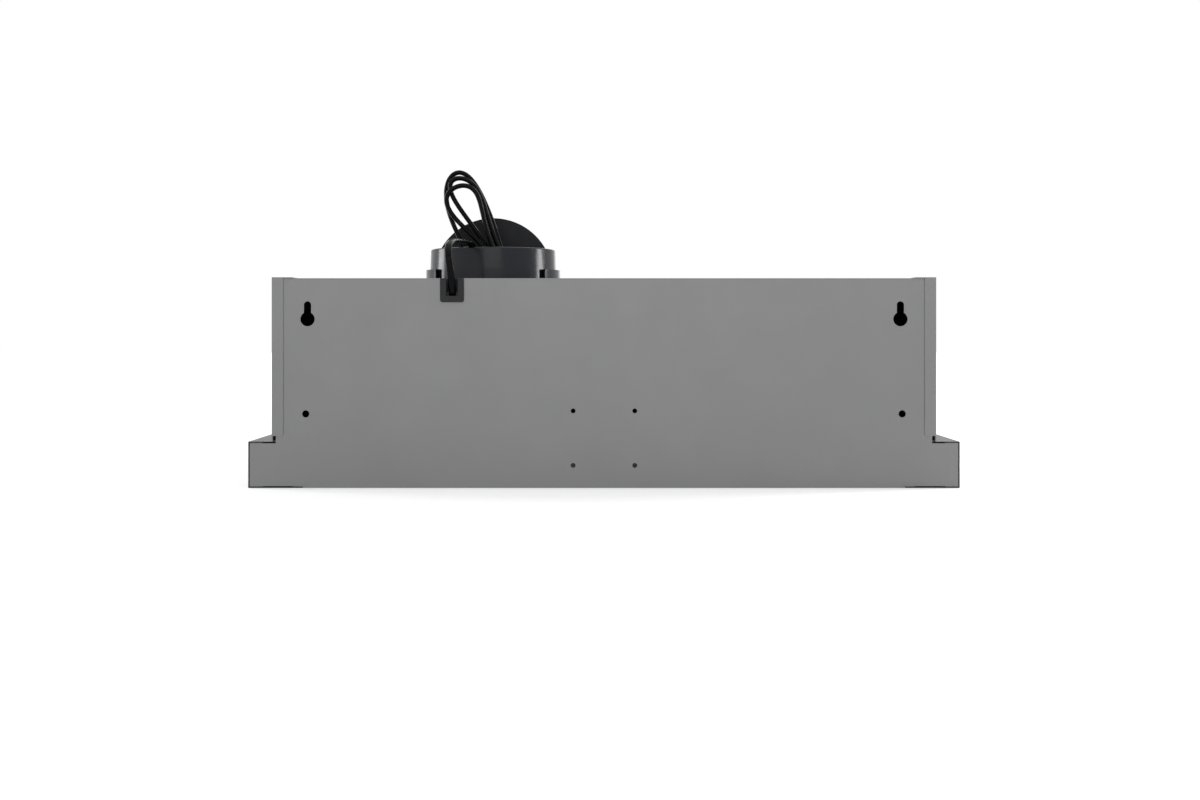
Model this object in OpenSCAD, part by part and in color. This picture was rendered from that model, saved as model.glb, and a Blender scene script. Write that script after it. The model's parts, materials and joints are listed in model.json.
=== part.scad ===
// Telescopic range hood for a 60 cm wall cabinet.
// +Z is up, the front faces -Y, and the origin is at the middle of the underside.
// Left and right are those of a person who stands in front of the hood.

/* [Body] */
// Width over the wings of the base
base_w = 600; // [596:1:620]
// Height of the base
base_h = 39; // [38.5:0.5:44]
// Width of the box between the cabinet's sides
body_w = 560; // [548:1:570]
// Height of the box over the top flanges
body_h = 177.6; // [176:0.2:200]
// Depth of the box from the front panel to the wall
body_d = 276; // [270:1:300]
// Thickness of the sheet steel
sheet = 0.8; // [0.6:0.1:1.2]
// Width of the return strips behind and in front of the side panels
strip_w = 9.6; // [8:0.2:14]
// Reach of the side panels' top flanges
side_flange = 17; // [12:1:22]
// How far the wings' bottom flanges reach in
wing_reach = 46; // [40:1:50]
// Height of the notches at the inner corners of the back panel
relief_h = 4.8; // [3:0.2:8]

/* [Wall mounting] */
// Spacing of the keyholes
keyhole_spacing = 500; // [480:1:506]
// Height of the keyholes' round ends
keyhole_z = 142.3; // [120:0.1:150]
// Bore of the keyholes' round ends
keyhole_bore = 12; // [9:0.5:14]
// Width of the keyholes' slots
keyhole_slot = 6; // [4:0.5:8]
// Rise of the keyholes' slots
keyhole_rise = 12; // [8:0.5:14]
// Spacing of the lower wall holes
wall_hole_spacing = 503; // [480:1:506]
// Height of the lower wall holes
wall_hole_z = 62.4; // [55:0.1:70]
// Bore of the lower wall holes
wall_hole_bore = 6; // [4:0.5:8]
// Spacing of the four small holes across
spacer_dx = 52; // [40:1:60]
// Spacing of the four small holes up and down
spacer_dz = 46; // [42:1:50]
// Height of the lower pair of small holes
spacer_z = 18.9; // [14:0.1:20]
// Bore of the small holes
spacer_bore = 4; // [3:0.5:5]
// Bore of the cabinet screw holes in the sides
cabinet_bore = 4.5; // [3:0.5:6]
// Spacing of the cabinet screw holes, front to back
cabinet_dy = 180; // [120:1:200]
// Spacing of the cabinet screw holes, up and down
cabinet_dz = 80; // [60:1:90]
// Height of the lower cabinet screw holes
cabinet_z = 70; // [60:1:75]

/* [Outlet] */
// Place of the outlet across the hood
outlet_x = 103.5; // [95:0.5:110]
// Distance of the outlet from the wall
outlet_back = 139; // [134:0.5:144]
// Outer diameter of the collar at its foot
collar_d = 118; // [116:0.5:120]
// Height of the collar over the top panel
collar_h = 31.1; // [26:0.1:40]
// Wall of the collar at its foot
collar_wall = 2; // [1.6:0.1:2.4]
// Draft of the collar over its height, on the radius
collar_draft = 0.8; // [0:0.1:1]
// Span of the lugs and of the bands, in degrees
lug_span = 74; // [60:1:80]
// Height of the lugs' and the bands' tops over the top panel
lug_top = 11.7; // [10:0.1:14]
// Outer radius of the lugs
lug_r = 62.6; // [62:0.1:64]
// Thickness of a damper flap
flap_t = 1.4; // [1:0.1:2]
// Diameter of the rod that both flaps turn on
damper_rod_d = 3; // [2.5:0.1:3.4]
// Height of the damper's rod over the top panel
hinge_up = 4.8; // [4.5:0.1:6.5]

/* [Blower] */
// Impeller diameter
impeller_d = 180; // [150:1:184]
// Impeller height
impeller_h = 54; // [40:1:56]
// Number of impeller blades
blade_n = 38; // [24:1:44]
// Chord of a blade, measured along the radius
blade_depth = 16; // [12:1:18]
// Motor diameter
motor_d = 80; // [70:1:82]
// Diameter of the motor shaft
shaft_d = 8; // [6:0.5:10]
// Place of the blower's axis across the hood
blower_x = -62; // [-66:1:-58]
// Place of the blower's axis, front to back
blower_y = 8; // [4:1:10]
// Height of the blower housing
blower_h = 78; // [76:1:80]
// Wall of the blower housing
blower_wall = 2; // [1.6:0.1:2.4]
// Gap between impeller and housing at the tongue
tongue_gap = 6; // [5:0.5:8]
// Growth of the spiral wall's radius
spiral_growth = 30; // [20:1:30]

/* [Visor] */
// Thickness of the front bar, front to back
bar_t = 22; // [18:0.5:28]
// Length of the front bar over its end caps
bar_w = 599; // [590:1:599]
// Height of the front bar
bar_h = 38; // [34:0.5:38]
// Depth of the visor frame
visor_d = 230; // [200:1:240]
// Height of the visor frame
visor_h = 17; // [14:0.5:18]
// Length of the fixed rails
rail_len = 260; // [250:1:265]
// Length of the runners
runner_len = 246; // [220:1:248]

/* [Underside] */
// Depth of the lamp strip in the base tray
strip_d = 72; // [68:1:80]
// Bore of the lamp openings
lamp_bore = 52; // [44:1:56]
// Distance between the two lamps
lamp_spacing = 300; // [240:1:340]
// Thickness of a grease filter
filter_t = 9; // [7:0.5:10]
// Travel of the speed slider
speed_travel = 18; // [12:1:20]
// Travel of the light slider
light_travel = 8; // [6:1:10]

/* [Mains lead] */
// Width of the flat cord
cord_w = 5.6; // [5:0.1:5.8]
// Thickness of the flat cord
cord_t = 3.6; // [3:0.1:3.6]
// Place of the cord clamp across the hood
clamp_x = 128.1; // [120:0.1:136]
// Width of the cord clamp's flange
clamp_w = 20; // [18:0.5:24]
// Height of the cord clamp's flange
clamp_h = 20.2; // [18:0.2:24]
// Width of the cord clamp's window
window_w = 9.8; // [8:0.2:12]
// Depth of the cord clamp's window
window_h = 14.9; // [12:0.1:16]
// Distance between neighbouring loops of the stowed lead
hank_pitch = 6.5; // [6.3:0.1:7]

/* [Hidden] */
$fn = 48;

steel = "#858585";
bare_steel = "#b9bbbc";
plastic = "#26282c";
matte_plastic = "#1a1a1a";
rubber = "#101010";

gap = 0.3;
eps = 0.5;
y_back = (body_d + bar_t) / 2;
y_front = y_back - body_d;
y_bar = y_front - bar_t;
y_in = y_back - 2 * sheet;
half_base = base_w / 2;
half_body = body_w / 2;
bx = half_body - sheet;
top_z = body_h - 2 * sheet;
roof_z = top_z;
foot_reach = 12;
wing_in = half_base - wing_reach;
wing_wall = half_base - sheet;
wing_top_in = half_body - foot_reach;

outlet_y = y_back - outlet_back;
collar_z = top_z + sheet;
collar_r = collar_d / 2;
collar_bore = collar_r - collar_wall;
hinge_z = collar_z + hinge_up;
damper_rod_r = damper_rod_d / 2;
damper_rod_end = collar_bore - 0.6;
rod_gap = 0.05;
knuckle_r = damper_rod_r + 1.3;
knuckle_len = 24;
knuckle_x = [-50, 1];
flap_off = 0.3;
hinge_boss = 4;
hinge_boss_h = 3.3;
flap_r = collar_bore - collar_draft / 4 - 0.8;
flap_edge = knuckle_r + 0.6;
flap_corner = hinge_boss_h + 1.3;
flap_inset = hinge_boss + 0.7;
flange_r = collar_r + 8;
flange_t = 2;
collar_screw_r = collar_r + 5;
ledge_w = 3;

blower_z = roof_z - blower_h;
split_z = roof_z - blower_h / 2;
impeller_r = impeller_d / 2;
impeller_z = blower_z + 8;
impeller_top = impeller_z + impeller_h;
ring_t = 2;
disc_t = 1.6;
hat_top_r = motor_d / 2 + 8;
hat_low_r = motor_d / 2 + 5;
hat_z = impeller_z + 10;
motor_r = motor_d / 2;
motor_z = hat_z + disc_t + 2.4;
shaft_r = shaft_d / 2;
thread_r = shaft_r - 1;
hub_r = shaft_r + 5;
hub_z = hat_z - 8;
nut_h = 5;
motor_top = roof_z - blower_wall - 7;
ear_top = motor_top - 1;
spiral_start = 38;
spiral_r0 = impeller_r + tongue_gap + blower_wall;
spiral_r1 = spiral_r0 + spiral_growth;
outlet_r = collar_r + 3;
blower_dist = norm([outlet_x - blower_x, outlet_y - blower_y]);
blower_turn = atan2(outlet_y - blower_y, outlet_x - blower_x);
exit_turn = blower_turn + 270 + asin((spiral_r1 - outlet_r) / blower_dist);
ear_r = 6;
screw_r = 1.5;
screw_clear = 1.9;
bell_r = 4;
inlet_r = impeller_r - 14;
blower_ears = [75, 125, 180, 225];
outlet_ears = [-50, 20, 70];
hanger_angles = [100, 200, 245];
motor_ears = [90, 210, 330];
motor_ear_r = motor_r + 9;

tray_z = sheet;
tray_half = wing_in + 8;
window_y0 = y_front + strip_d;
window_y1 = y_back - 9;
window_x0 = 4;
window_x1 = wing_in - 4;
filter_gap = 1;
filter_hinge_y = window_y1 - 2;
filter_hinge_z = tray_z + sheet / 2;
filter_z = 0.5;
lamp_y = y_front + strip_d / 2;
lamp_h = 11;
speed_x = -30;
light_x = 30;
knob = 8;
slot_gap = 0.3;
switch_h = 11;
switch_wall = 2;
slider_plate = 12;

visor_z = 16;
visor_half = wing_wall - 9.2;
visor_lip = 20;
rail_z = 18;
rail_h = 14;
rail_t = 8;
rail_wall = 1.2;
rail_y1 = y_in - 7;
runner_x = visor_half;
bar_z = 0.3;
bar_wall = 1;
cap_t = 1.5;
cross_x = [-90, 90];

clamp_t = 1.6;
clamp_body = 13.6;
clamp_ledge = 3.4;
clamp_slot_y = y_in - 7;
notch_half = clamp_body / 2 + gap / 2;
box_x0 = clamp_x - 28;
box_x1 = clamp_x + 28;
box_y0 = y_in - 44;
box_y1 = y_in;
box_z0 = 96;
box_z1 = 148;

// The stowed lead: three loops that rise out of the outlet, each in its own plane.
// Each list holds one value per loop, from the wall side to the middle of the collar.
hank_loops = 3;
hank_rings = 24;
hank_mid = [-0.5, -4, 5.5];
hank_lean = [0.56, 0.51, 0.41];
hank_half = [30, 27.5, 22];
hank_waist = [0.125, 0.2, 0.75];
hank_top = [57, 66, 70];
hank_skew = [15, 4, 17];
hank_low = 22;
hank_y = 46;
waist_up = 28.2;
waist_z = collar_z + waist_up;
hank_floor = blower_z + blower_wall + cord_t / 2 + 0.4;
hank_drop = waist_z - hank_floor;

plug_x = outlet_x - 18.5;
plug_y = outlet_y + 2;
plug_w = 35;
plug_len = 34;
plug_t = 14;
plug_z = blower_z + blower_wall + plug_t / 2 + gap;
relief_len = 12;

function mix(a, b, f) = a + (b - a) * f;
function ease(f) = f * f * (3 - 2 * f);
function unit(v) = v / norm(v);
function clip01(f) = min(1, max(0, f));

// Turn t counts degrees along the hank: 180 is the bottom of the first loop, 360 its top.
// A lower half passes from one loop's sizes to the next in its first 90 degrees.
function loop_mix(list, t) =
  let (
    k = floor((t - 90) / 360),
    low = (t - 90) % 360 < 180,
    f = clip01((t - 90 - 360 * k) / 90),
    i = min(hank_loops - 1, k),
    j = min(hank_loops - 1, max(0, k - 1))
  ) low ? mix(list[j], list[i], ease(f)) : list[i];
// Each lower half also steps to the next plane, and so does the cord's last quarter turn.
function plane_at(t) =
  let (k = floor((t - 90) / 360), low = (t - 90) % 360 < 180, f = clip01((t - 90 - 360 * k) / 90))
  low ? mix(max(0, k - 1), k, ease(f)) : k;
function low_slope(t) =
  let (h = loop_mix(hank_top, t), side = sin(t) > 0 ? -1 : 1)
  loop_mix(hank_lean, t) * h / (h + side * loop_mix(hank_skew, t));
function high_point(t, c, s) =
  let (h = loop_mix(hank_top, t), half = loop_mix(hank_half, t))
  [
    loop_mix(hank_lean, t) * h * c + s * half * mix(loop_mix(hank_waist, t), 1, c * c),
    h * c - loop_mix(hank_skew, t) * s * c
  ];
function low_point(t, c, s) =
  let (neck = loop_mix(hank_half, t) * loop_mix(hank_waist, t))
  [low_slope(t) * hank_drop * c * pow(1 + c, 3) + s * mix(neck, hank_low, c * c), hank_drop * c];
function hank_point(t) =
  let (c = cos(t), s = sin(t), p = c > 0 ? high_point(t, c, s) : low_point(t, c, s))
  [
    outlet_x + loop_mix(hank_mid, t) + p[0],
    outlet_y + hank_y - hank_pitch * plane_at(t),
    waist_z + p[1]
  ];
function hank_turn(k) = 180 + 360 * k / hank_rings;
hank_path = [for (k = [0:hank_loops * hank_rings]) hank_point(hank_turn(k))];
hank_fine = [for (k = [0:4 * hank_loops * hank_rings]) hank_point(hank_turn(k / 4))];
function flat_gap(p, q) =
  norm([max(0, abs(p[1] - q[1]) - cord_w), max(0, norm([p[0] - q[0], p[2] - q[2]]) - cord_t)]);
hank_gap = min([
  for (i = [0:len(hank_fine) - 20], j = [i + 16:len(hank_fine) - 1]) flat_gap(hank_fine[i], hank_fine[j])
]);
echo(least_gap_in_hank = hank_gap);

// The lead's route: x from the clamp, y from the wall, z from the underside of the top panel,
// and the turn of the cord's wide side about the vertical.
hank_start = hank_path[0];
lead_route = [
  [0, -7.8, -28, 0], [0, -6.6, -18, 0], [0.2, -2.2, -6, 0], [1, 2, 8, 0], [2.8, 2.2, 20, 0],
  [3.4, -6, 28.6, 0], [2.2, -20, 32.6, 0], [0.6, -40, 34.2, 0], [-1.8, -60, 35.2, 0],
  [-5, -77, 35.6, 0], [-8.6, -87.6, 34.2, 10], [-10.7, -92.4, 26, 30], [-11, -92.8, 14, 55],
  [-8, -92, -4, 80], [-4, -91.5, -28, 90], [-4, -91.8, -50, 90], [-5.2, -92, -61, 90],
  [-9, -92.3, -69, 90], [-16, -92.7, -73.4, 90]
];
lead_points = concat([for (p = lead_route) [clamp_x + p[0], y_back + p[1], top_z + p[2]]], [hank_start]);
lead_turns = concat([for (p = lead_route) p[3]], [90]);

hank_end = hank_path[len(hank_path) - 1];
tail_end = [plug_x, plug_y + plug_len / 2 + relief_len - 5, plug_z];
tail_points = [
  hank_end, hank_end + [-7, 0, 0.3], [tail_end[0] + 7, hank_end[1] - 1.5, mix(hank_end[2], plug_z, 0.3)],
  tail_end + [0.6, 5, 1], tail_end
];
tail_turns = [90, 95, 120, 170, 180];

function curve_point(list, i, f) =
  let (
    n = len(list) - 1,
    a = list[max(0, i - 1)], b = list[i], c = list[min(n, i + 1)], d = list[min(n, i + 2)]
  ) (2 * b + (c - a) * f + (2 * a - 5 * b + 4 * c - d) * f * f + (3 * b - a - 3 * c + d) * f * f * f) / 2;
function curve(list, steps) = concat(
  [for (i = [0:len(list) - 2], k = [0:steps - 1]) curve_point(list, i, k / steps)],
  [list[len(list) - 1]]
);
function heading(path, i) = unit(path[min(len(path) - 1, i + 1)] - path[max(0, i - 1)]);
function flat_ring(p, run, turn, wide, thick, sides) =
  let (
    w0 = [cos(turn), sin(turn), 0],
    w = unit(w0 - (w0 * run) * run),
    n = cross(run, w)
  ) [for (j = [0:sides - 1]) let (a = 360 * (j + 0.5) / sides) p + w * (wide / 2 * cos(a)) + n * (thick / 2 * sin(a))];

// One closed tube of triangles through the rings of a path.
module flat_tube(path, turns, wide, thick, sides) {
  rings = [for (i = [0:len(path) - 1]) flat_ring(path[i], heading(path, i), turns[i], wide, thick, sides)];
  points = [for (r = rings, p = r) p];
  last = (len(path) - 1) * sides;
  walls = [
    for (i = [0:len(path) - 2], j = [0:sides - 1], half = [0, 1])
      let (a = i * sides + j, b = i * sides + (j + 1) % sides)
      half == 0 ? [a, b + sides, b] : [a, a + sides, b + sides]
  ];
  start = [for (j = [1:sides - 2]) [0, j, j + 1]];
  end = [for (j = [1:sides - 2]) [last, last + j + 1, last + j]];
  polyhedron(points = points, faces = concat(walls, start, end), convexity = 10);
}

module box(x0, x1, y0, y1, z0, z1) {
  translate([x0, y0, z0]) cube([x1 - x0, y1 - y0, z1 - z0]);
}

// A round bar along an axis, from a point.
module rod(at, r, length, axis = "z") {
  turn = axis == "x" ? [0, 90, 0] : axis == "y" ? [-90, 0, 0] : [0, 0, 0];
  translate(at) rotate(turn) cylinder(r = r, h = length);
}

// A piece of ring about the collar's axis: radii, heights, first angle and span.
module collar_sector(r0, r1, z0, z1, start, span) {
  translate([outlet_x, outlet_y, 0])
    rotate([0, 0, start])
      rotate_extrude(angle = span, $fn = 96)
        translate([r0, z0])
          square([r1 - r0, z1 - z0]);
}

module screw_from_above(x, y, z, depth, head_r = 3, head_h = 1.8) {
  rod([x, y, z - depth], screw_r, depth + eps);
  translate([x, y, z]) cylinder(r1 = head_r, r2 = head_r * 0.6, h = head_h, $fn = 24);
}

module slot_z(x, z0, z1, r) {
  rod([x, y_in - eps, z0], r, 2 * sheet, "y");
  rod([x, y_in - eps, z1], r, 2 * sheet, "y");
  box(x - r, x + r, y_in - eps, y_in - eps + 2 * sheet, z0, z1);
}

module back_panel() {
  tab = 2 * sheet - 0.2;
  flange = 7;
  color(steel) difference() {
    union() {
      box(-bx, bx, y_in, y_in + sheet, base_h - tab, top_z);
      box(-half_base + tab, half_base - tab, y_in, y_in + sheet, tab, base_h - tab);
      box(-wing_in + 0.6, wing_in - 0.6, y_in, y_in + sheet, 0, tab + eps);
      box(-wing_in + 0.6, wing_in - 0.6, y_in - flange, y_in + eps, 0, sheet);
      box(-bx + 18, bx - 18, y_in - flange - 5, y_in + eps, top_z - sheet, top_z);
    }
    for (s = [-1, 1]) {
      rod([s * keyhole_spacing / 2, y_in - eps, keyhole_z], keyhole_bore / 2, 2 * sheet, "y");
      slot_z(s * keyhole_spacing / 2, keyhole_z, keyhole_z + keyhole_rise, keyhole_slot / 2);
      rod([s * wall_hole_spacing / 2, y_in - eps, wall_hole_z], wall_hole_bore / 2, 2 * sheet, "y");
      box(s * bx - 2.4, s * bx + 2.4, y_in - eps, y_back, base_h - tab, base_h + relief_h);
      for (up = [0, 1])
        rod([s * spacer_dx / 2, y_in - eps, spacer_z + up * spacer_dz], spacer_bore / 2, 2 * sheet, "y");
    }
    box(clamp_x - notch_half, clamp_x + notch_half, y_in - 20, y_back, body_h - clamp_h + 1.2, body_h);
  }
}

module top_panel() {
  color(steel) difference() {
    box(-bx, bx, y_front + sheet, y_in + sheet, top_z, top_z + sheet);
    rod([outlet_x, outlet_y, top_z - eps], collar_bore + 0.6, 3);
    box(clamp_x - notch_half, clamp_x + notch_half, y_in - 11, y_back, top_z - eps, body_h);
    housing_screw_places() rod([0, 0, top_z - eps], screw_r, 3);
    hanger_places() rod([0, 0, top_z - eps], screw_clear, 3);
    collar_screw_places() rod([0, 0, top_z - eps], screw_clear, 3);
  }
}

module front_panel() {
  color(steel) {
    box(-bx, bx, y_front + sheet, y_front + 2 * sheet, base_h, top_z);
    box(-bx + 18, bx - 18, y_front + sheet, y_front + 6.5, top_z - sheet, top_z);
    box(-bx + 13, bx - 13, y_front + sheet, y_front + 10, base_h, base_h + sheet);
  }
}

// Both side panels: sheet, top flange, foot flange and the strips round the back and the front.
module side_panel(s) {
  rear_low = base_h + relief_h;
  color(steel) difference() {
    union() {
      side_box(s, bx, half_body, y_front, y_back, base_h, body_h);
      side_box(s, half_body - side_flange, half_body, y_front, y_back, top_z + sheet, body_h);
      side_box(s, wing_top_in, half_body, y_front + 12, y_in - 2, base_h, base_h + sheet);
      side_box(s, half_body - strip_w, half_body, y_back - sheet, y_back, rear_low + 2, body_h);
      side_box(s, half_body - strip_w + 2, half_body, y_back - sheet, y_back, rear_low, rear_low + 2 + eps);
      rod([s * (half_body - strip_w + 2), y_back - sheet, rear_low + 2], 2, sheet, "y");
      side_box(s, half_body - strip_w, half_body, y_front, y_front + sheet, base_h, body_h);
    }
    cabinet_holes(s);
    housing_screw_places() rod([0, 0, top_z], screw_clear, 3);
    wing_screw_places() rod([0, 0, base_h - eps], screw_clear, 2);
  }
}

module side_box(s, x0, x1, y0, y1, z0, z1) {
  box(min(s * x0, s * x1), max(s * x0, s * x1), y0, y1, z0, z1);
}

module cabinet_holes(s) {
  for (i = [-1, 1], up = [0, 1])
    rod([s * half_body - 3, i * cabinet_dy / 2, cabinet_z + up * cabinet_dz], cabinet_bore / 2, 6, "x");
}

module housing_screw_places() {
  for (s = [-1, 1], y = [-90, -10, 70])
    translate([s * (half_body - side_flange / 2), y, 0]) children();
}

module wing_screw_places() {
  for (s = [-1, 1], y = [-70, 20, 110])
    translate([s * (half_body - foot_reach / 2), y, 0]) children();
}

module wing(s) {
  color(steel) difference() {
    union() {
      side_box(s, wing_top_in, half_base, y_front, y_in + sheet, base_h - sheet, base_h);
      side_box(s, wing_wall, half_base, y_front, y_in + sheet, 0, base_h);
      side_box(s, wing_in, half_base, y_front, y_in + sheet, 0, sheet);
      side_box(s, half_base - 12, wing_wall + eps / 2, y_in - sheet, y_in, sheet / 2, base_h - sheet / 2);
    }
    wing_screw_places() rod([0, 0, base_h - 2], screw_r, 3);
    tray_screw_places() rod([0, 0, -1], screw_clear, 3);
  }
}

module tray_screw_places() {
  for (s = [-1, 1], y = [-100, 10, 120])
    translate([s * (wing_in + 4), y, 0]) children();
}

module base_tray() {
  color(steel) difference() {
    union() {
      box(-tray_half, tray_half, y_front, y_in, tray_z, tray_z + sheet);
      box(-tray_half, tray_half, y_front, y_front + sheet, tray_z, 12);
    }
    for (s = [-1, 1]) {
      side_box(s, window_x0, window_x1, window_y0, window_y1, -1, 3);
      rod([s * lamp_spacing / 2, lamp_y, -1], lamp_bore / 2, 4);
    }
    slider_slot(speed_x, speed_travel);
    slider_slot(light_x, light_travel);
    tray_screw_places() rod([0, 0, -1], screw_r, 4);
  }
}

module slider_slot(x, travel) {
  box(x - knob / 2 - slot_gap, x + knob / 2 + travel + slot_gap,
    lamp_y - knob / 2 - slot_gap, lamp_y + knob / 2 + slot_gap, -1, 3);
}

// C-shaped rail on the wing's wall.
module rail(s) {
  x0 = wing_wall - rail_t;
  color(bare_steel) difference() {
    side_box(s, x0, wing_wall, rail_y1 - rail_len, rail_y1, rail_z, rail_z + rail_h);
    side_box(s, x0 - eps, wing_wall - rail_wall, rail_y1 - rail_len - eps, rail_y1 - rail_wall,
      rail_z + rail_wall, rail_z + rail_h - rail_wall);
  }
}

// Outline of the housing, seen from above: a spiral that runs tangent into the round outlet.
function spiral_points(inset) = [
  for (k = [0:36])
    let (f = k / 36, a = mix(spiral_start, exit_turn, f), r = mix(spiral_r0, spiral_r1, f) - inset)
    [blower_x + r * cos(a), blower_y + r * sin(a)]
];
function outlet_points(inset) = [
  for (k = [0:24])
    let (a = mix(exit_turn - 360, 105, k / 24), r = outlet_r - inset)
    [outlet_x + r * cos(a), outlet_y + r * sin(a)]
];
module scroll_outline(inset) {
  polygon(concat(spiral_points(inset), outlet_points(inset)));
}

function ear_at(a) =
  let (f = (a - spiral_start) / (exit_turn - spiral_start), r = mix(spiral_r0, spiral_r1, f) + 3)
  [blower_x + r * cos(a), blower_y + r * sin(a), 0];
function round_at(r, a) = [outlet_x + r * cos(a), outlet_y + r * sin(a), 0];

module ear_places() {
  for (a = blower_ears) translate(ear_at(a)) children();
  for (a = outlet_ears) translate(round_at(outlet_r + 3, a)) children();
}

module hanger_places() {
  for (a = hanger_angles) translate(ear_at(a)) children();
}

module collar_screw_places() {
  for (a = [45, 135, 225, 315]) translate(round_at(collar_screw_r, a)) children();
}

module scroll_prism(inset, z0, z1) {
  translate([0, 0, z0]) linear_extrude(z1 - z0) scroll_outline(inset);
}

module scroll_base() {
  color(matte_plastic) {
    difference() {
      union() {
        scroll_prism(0, blower_z, split_z);
        ear_places() rod([0, 0, split_z - 5], ear_r, 5);
      }
      scroll_prism(blower_wall, blower_z + blower_wall, split_z + 1);
      translate([blower_x, blower_y, blower_z - 1]) cylinder(r = inlet_r + bell_r, h = 5, $fn = 96);
      ear_places() rod([0, 0, split_z - 6], screw_clear, 8);
    }
    translate([blower_x, blower_y, blower_z]) inlet_bell();
  }
}

// Rounded mouth that leads the air up into the impeller.
module inlet_bell() {
  lip = bell_r + 2;
  inner = [for (a = [0:15:90]) [inlet_r + bell_r * (1 - sin(a)), bell_r * (1 - cos(a))]];
  thin = bell_r - blower_wall;
  outer = [for (a = [90:-15:0]) [inlet_r + bell_r - thin * sin(a), bell_r - thin * cos(a)]];
  rotate_extrude($fn = 96)
    polygon(concat(inner, [[inlet_r, lip], [inlet_r + blower_wall, lip]], outer));
}

module scroll_cover() {
  color(matte_plastic) difference() {
    union() {
      scroll_prism(0, split_z, roof_z);
      ear_places() rod([0, 0, split_z], ear_r, 7);
      hanger_places() rod([0, 0, roof_z - 12], ear_r, 12);
      collar_screw_places() rod([0, 0, roof_z - 12], 4.5, 12);
    }
    scroll_prism(blower_wall, split_z - 1, roof_z - blower_wall);
    translate([outlet_x, outlet_y, roof_z - 4]) cylinder(r = collar_bore + 1, h = 8, $fn = 96);
    ear_places() rod([0, 0, split_z - 1], screw_r, 7);
    hanger_places() rod([0, 0, roof_z - 10], screw_r, 12);
    collar_screw_places() rod([0, 0, roof_z - 10], screw_r, 12);
    motor_ear_places() rod([0, 0, roof_z - 4], screw_r, 6);
  }
}

module motor_ear_places() {
  for (a = motor_ears)
    translate([blower_x + motor_ear_r * cos(a), blower_y + motor_ear_r * sin(a), 0]) children();
}

module motor() {
  color("#6d6f72") difference() {
    union() {
      translate([blower_x, blower_y, motor_z])
        rotate_extrude($fn = 72)
          polygon([
            [0, -1.8], [hub_r + 3, -1.8], [hub_r + 3, 0], [motor_r - 5, 0], [motor_r, 5],
            [motor_r, motor_top - motor_z], [0, motor_top - motor_z]
          ]);
      for (a = motor_ears)
        translate([blower_x, blower_y, ear_top - 3]) rotate([0, 0, a]) {
          translate([motor_r - 4, -5, 0]) cube([motor_ear_r - motor_r + 4, 10, 3]);
          translate([motor_ear_r, 0, 0]) cylinder(r = 6, h = 3);
        }
    }
    motor_ear_places() rod([0, 0, ear_top - 4], screw_clear, 6);
    rod([blower_x, blower_y, motor_z - 3], shaft_r + 0.05, 33.3);
  }
}

module motor_bushes() {
  color(rubber) motor_ear_places() difference() {
    rod([0, 0, ear_top], 5, roof_z - blower_wall - ear_top);
    rod([0, 0, ear_top - 1], screw_r, 12);
  }
}

module motor_screws() {
  color(bare_steel) motor_ear_places() {
    rod([0, 0, ear_top - 3 - eps], screw_r, roof_z - ear_top + 3 + eps - 0.2);
    rod([0, 0, ear_top - 4.8], 3, 1.8);
  }
}

function blade_point(f, side) =
  let (
    r = impeller_r - blade_depth + 0.4 + f * (blade_depth - 0.8),
    a = 12 * f * f + side * 0.6 / r * 180 / PI
  )
  [r * cos(a), r * sin(a)];

// Squirrel-cage impeller: curved blades between a ring and a disc with a hat for the motor.
module impeller() {
  blade = concat([for (f = [0:0.25:1]) blade_point(f, -1)], [for (f = [1:-0.25:0]) blade_point(f, 1)]);
  color("#3a3c40") translate([blower_x, blower_y, 0]) {
    translate([0, 0, impeller_z + ring_t])
      linear_extrude(impeller_h - ring_t - disc_t)
        for (i = [0:blade_n - 1]) rotate(360 * i / blade_n) polygon(blade);
    translate([0, 0, impeller_z]) rotate_extrude($fn = 96)
      translate([impeller_r - blade_depth, 0]) square([blade_depth, ring_t]);
    difference() {
      rotate_extrude($fn = 96) polygon([
        [0, hub_z], [hub_r, hub_z], [hub_r, hat_z], [hat_low_r, hat_z],
        [hat_top_r, impeller_top - disc_t], [impeller_r, impeller_top - disc_t],
        [impeller_r, impeller_top], [hat_top_r - disc_t, impeller_top],
        [hat_low_r - disc_t, hat_z + disc_t], [0, hat_z + disc_t]
      ]);
      rod([0, 0, hub_z - 1], shaft_r, 20);
    }
  }
}

module motor_shaft() {
  color(bare_steel) {
    rod([blower_x, blower_y, hub_z], shaft_r, motor_z + 30 - hub_z);
    rod([blower_x, blower_y, hub_z - nut_h - 2], thread_r, nut_h + 2 + eps);
  }
}

module impeller_nut() {
  color(bare_steel) difference() {
    translate([blower_x, blower_y, hub_z - nut_h]) cylinder(r = thread_r * 1.9, h = nut_h, $fn = 6);
    rod([blower_x, blower_y, hub_z - nut_h - 1], thread_r, nut_h + 2);
  }
}

module capacitor_at() {
  translate([-half_body + 54, y_in - 16, 0]) children();
}

module capacitor() {
  color("#d8d8d4") capacitor_at() {
    rod([0, 0, 92], 14, 58);
    rod([-5, 0, 150], 2, 5);
    rod([5, 0, 150], 2, 5);
  }
}

module capacitor_clip() {
  color(bare_steel) capacitor_at() {
    difference() {
      rod([0, 0, 112], 15, 16);
      rod([0, 0, 111], 14, 18);
    }
    difference() {
      translate([-8, 12, 112]) cube([16, 4, 16]);
      rod([0, 0, 111], 14, 18);
    }
  }
}

module terminal_box() {
  wall = 2;
  color(matte_plastic) difference() {
    box(box_x0, box_x1, box_y0 + wall, box_y1, box_z0, box_z1);
    box(box_x0 + wall, box_x1 - wall, box_y0, box_y1 - wall, box_z0 + wall, box_z1 - wall);
    box(clamp_x - 2.6, clamp_x + 2.6, box_y1 - 7.6, box_y1 - 4.6, box_z1 - 3, box_z1 + 1);
  }
}

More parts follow.
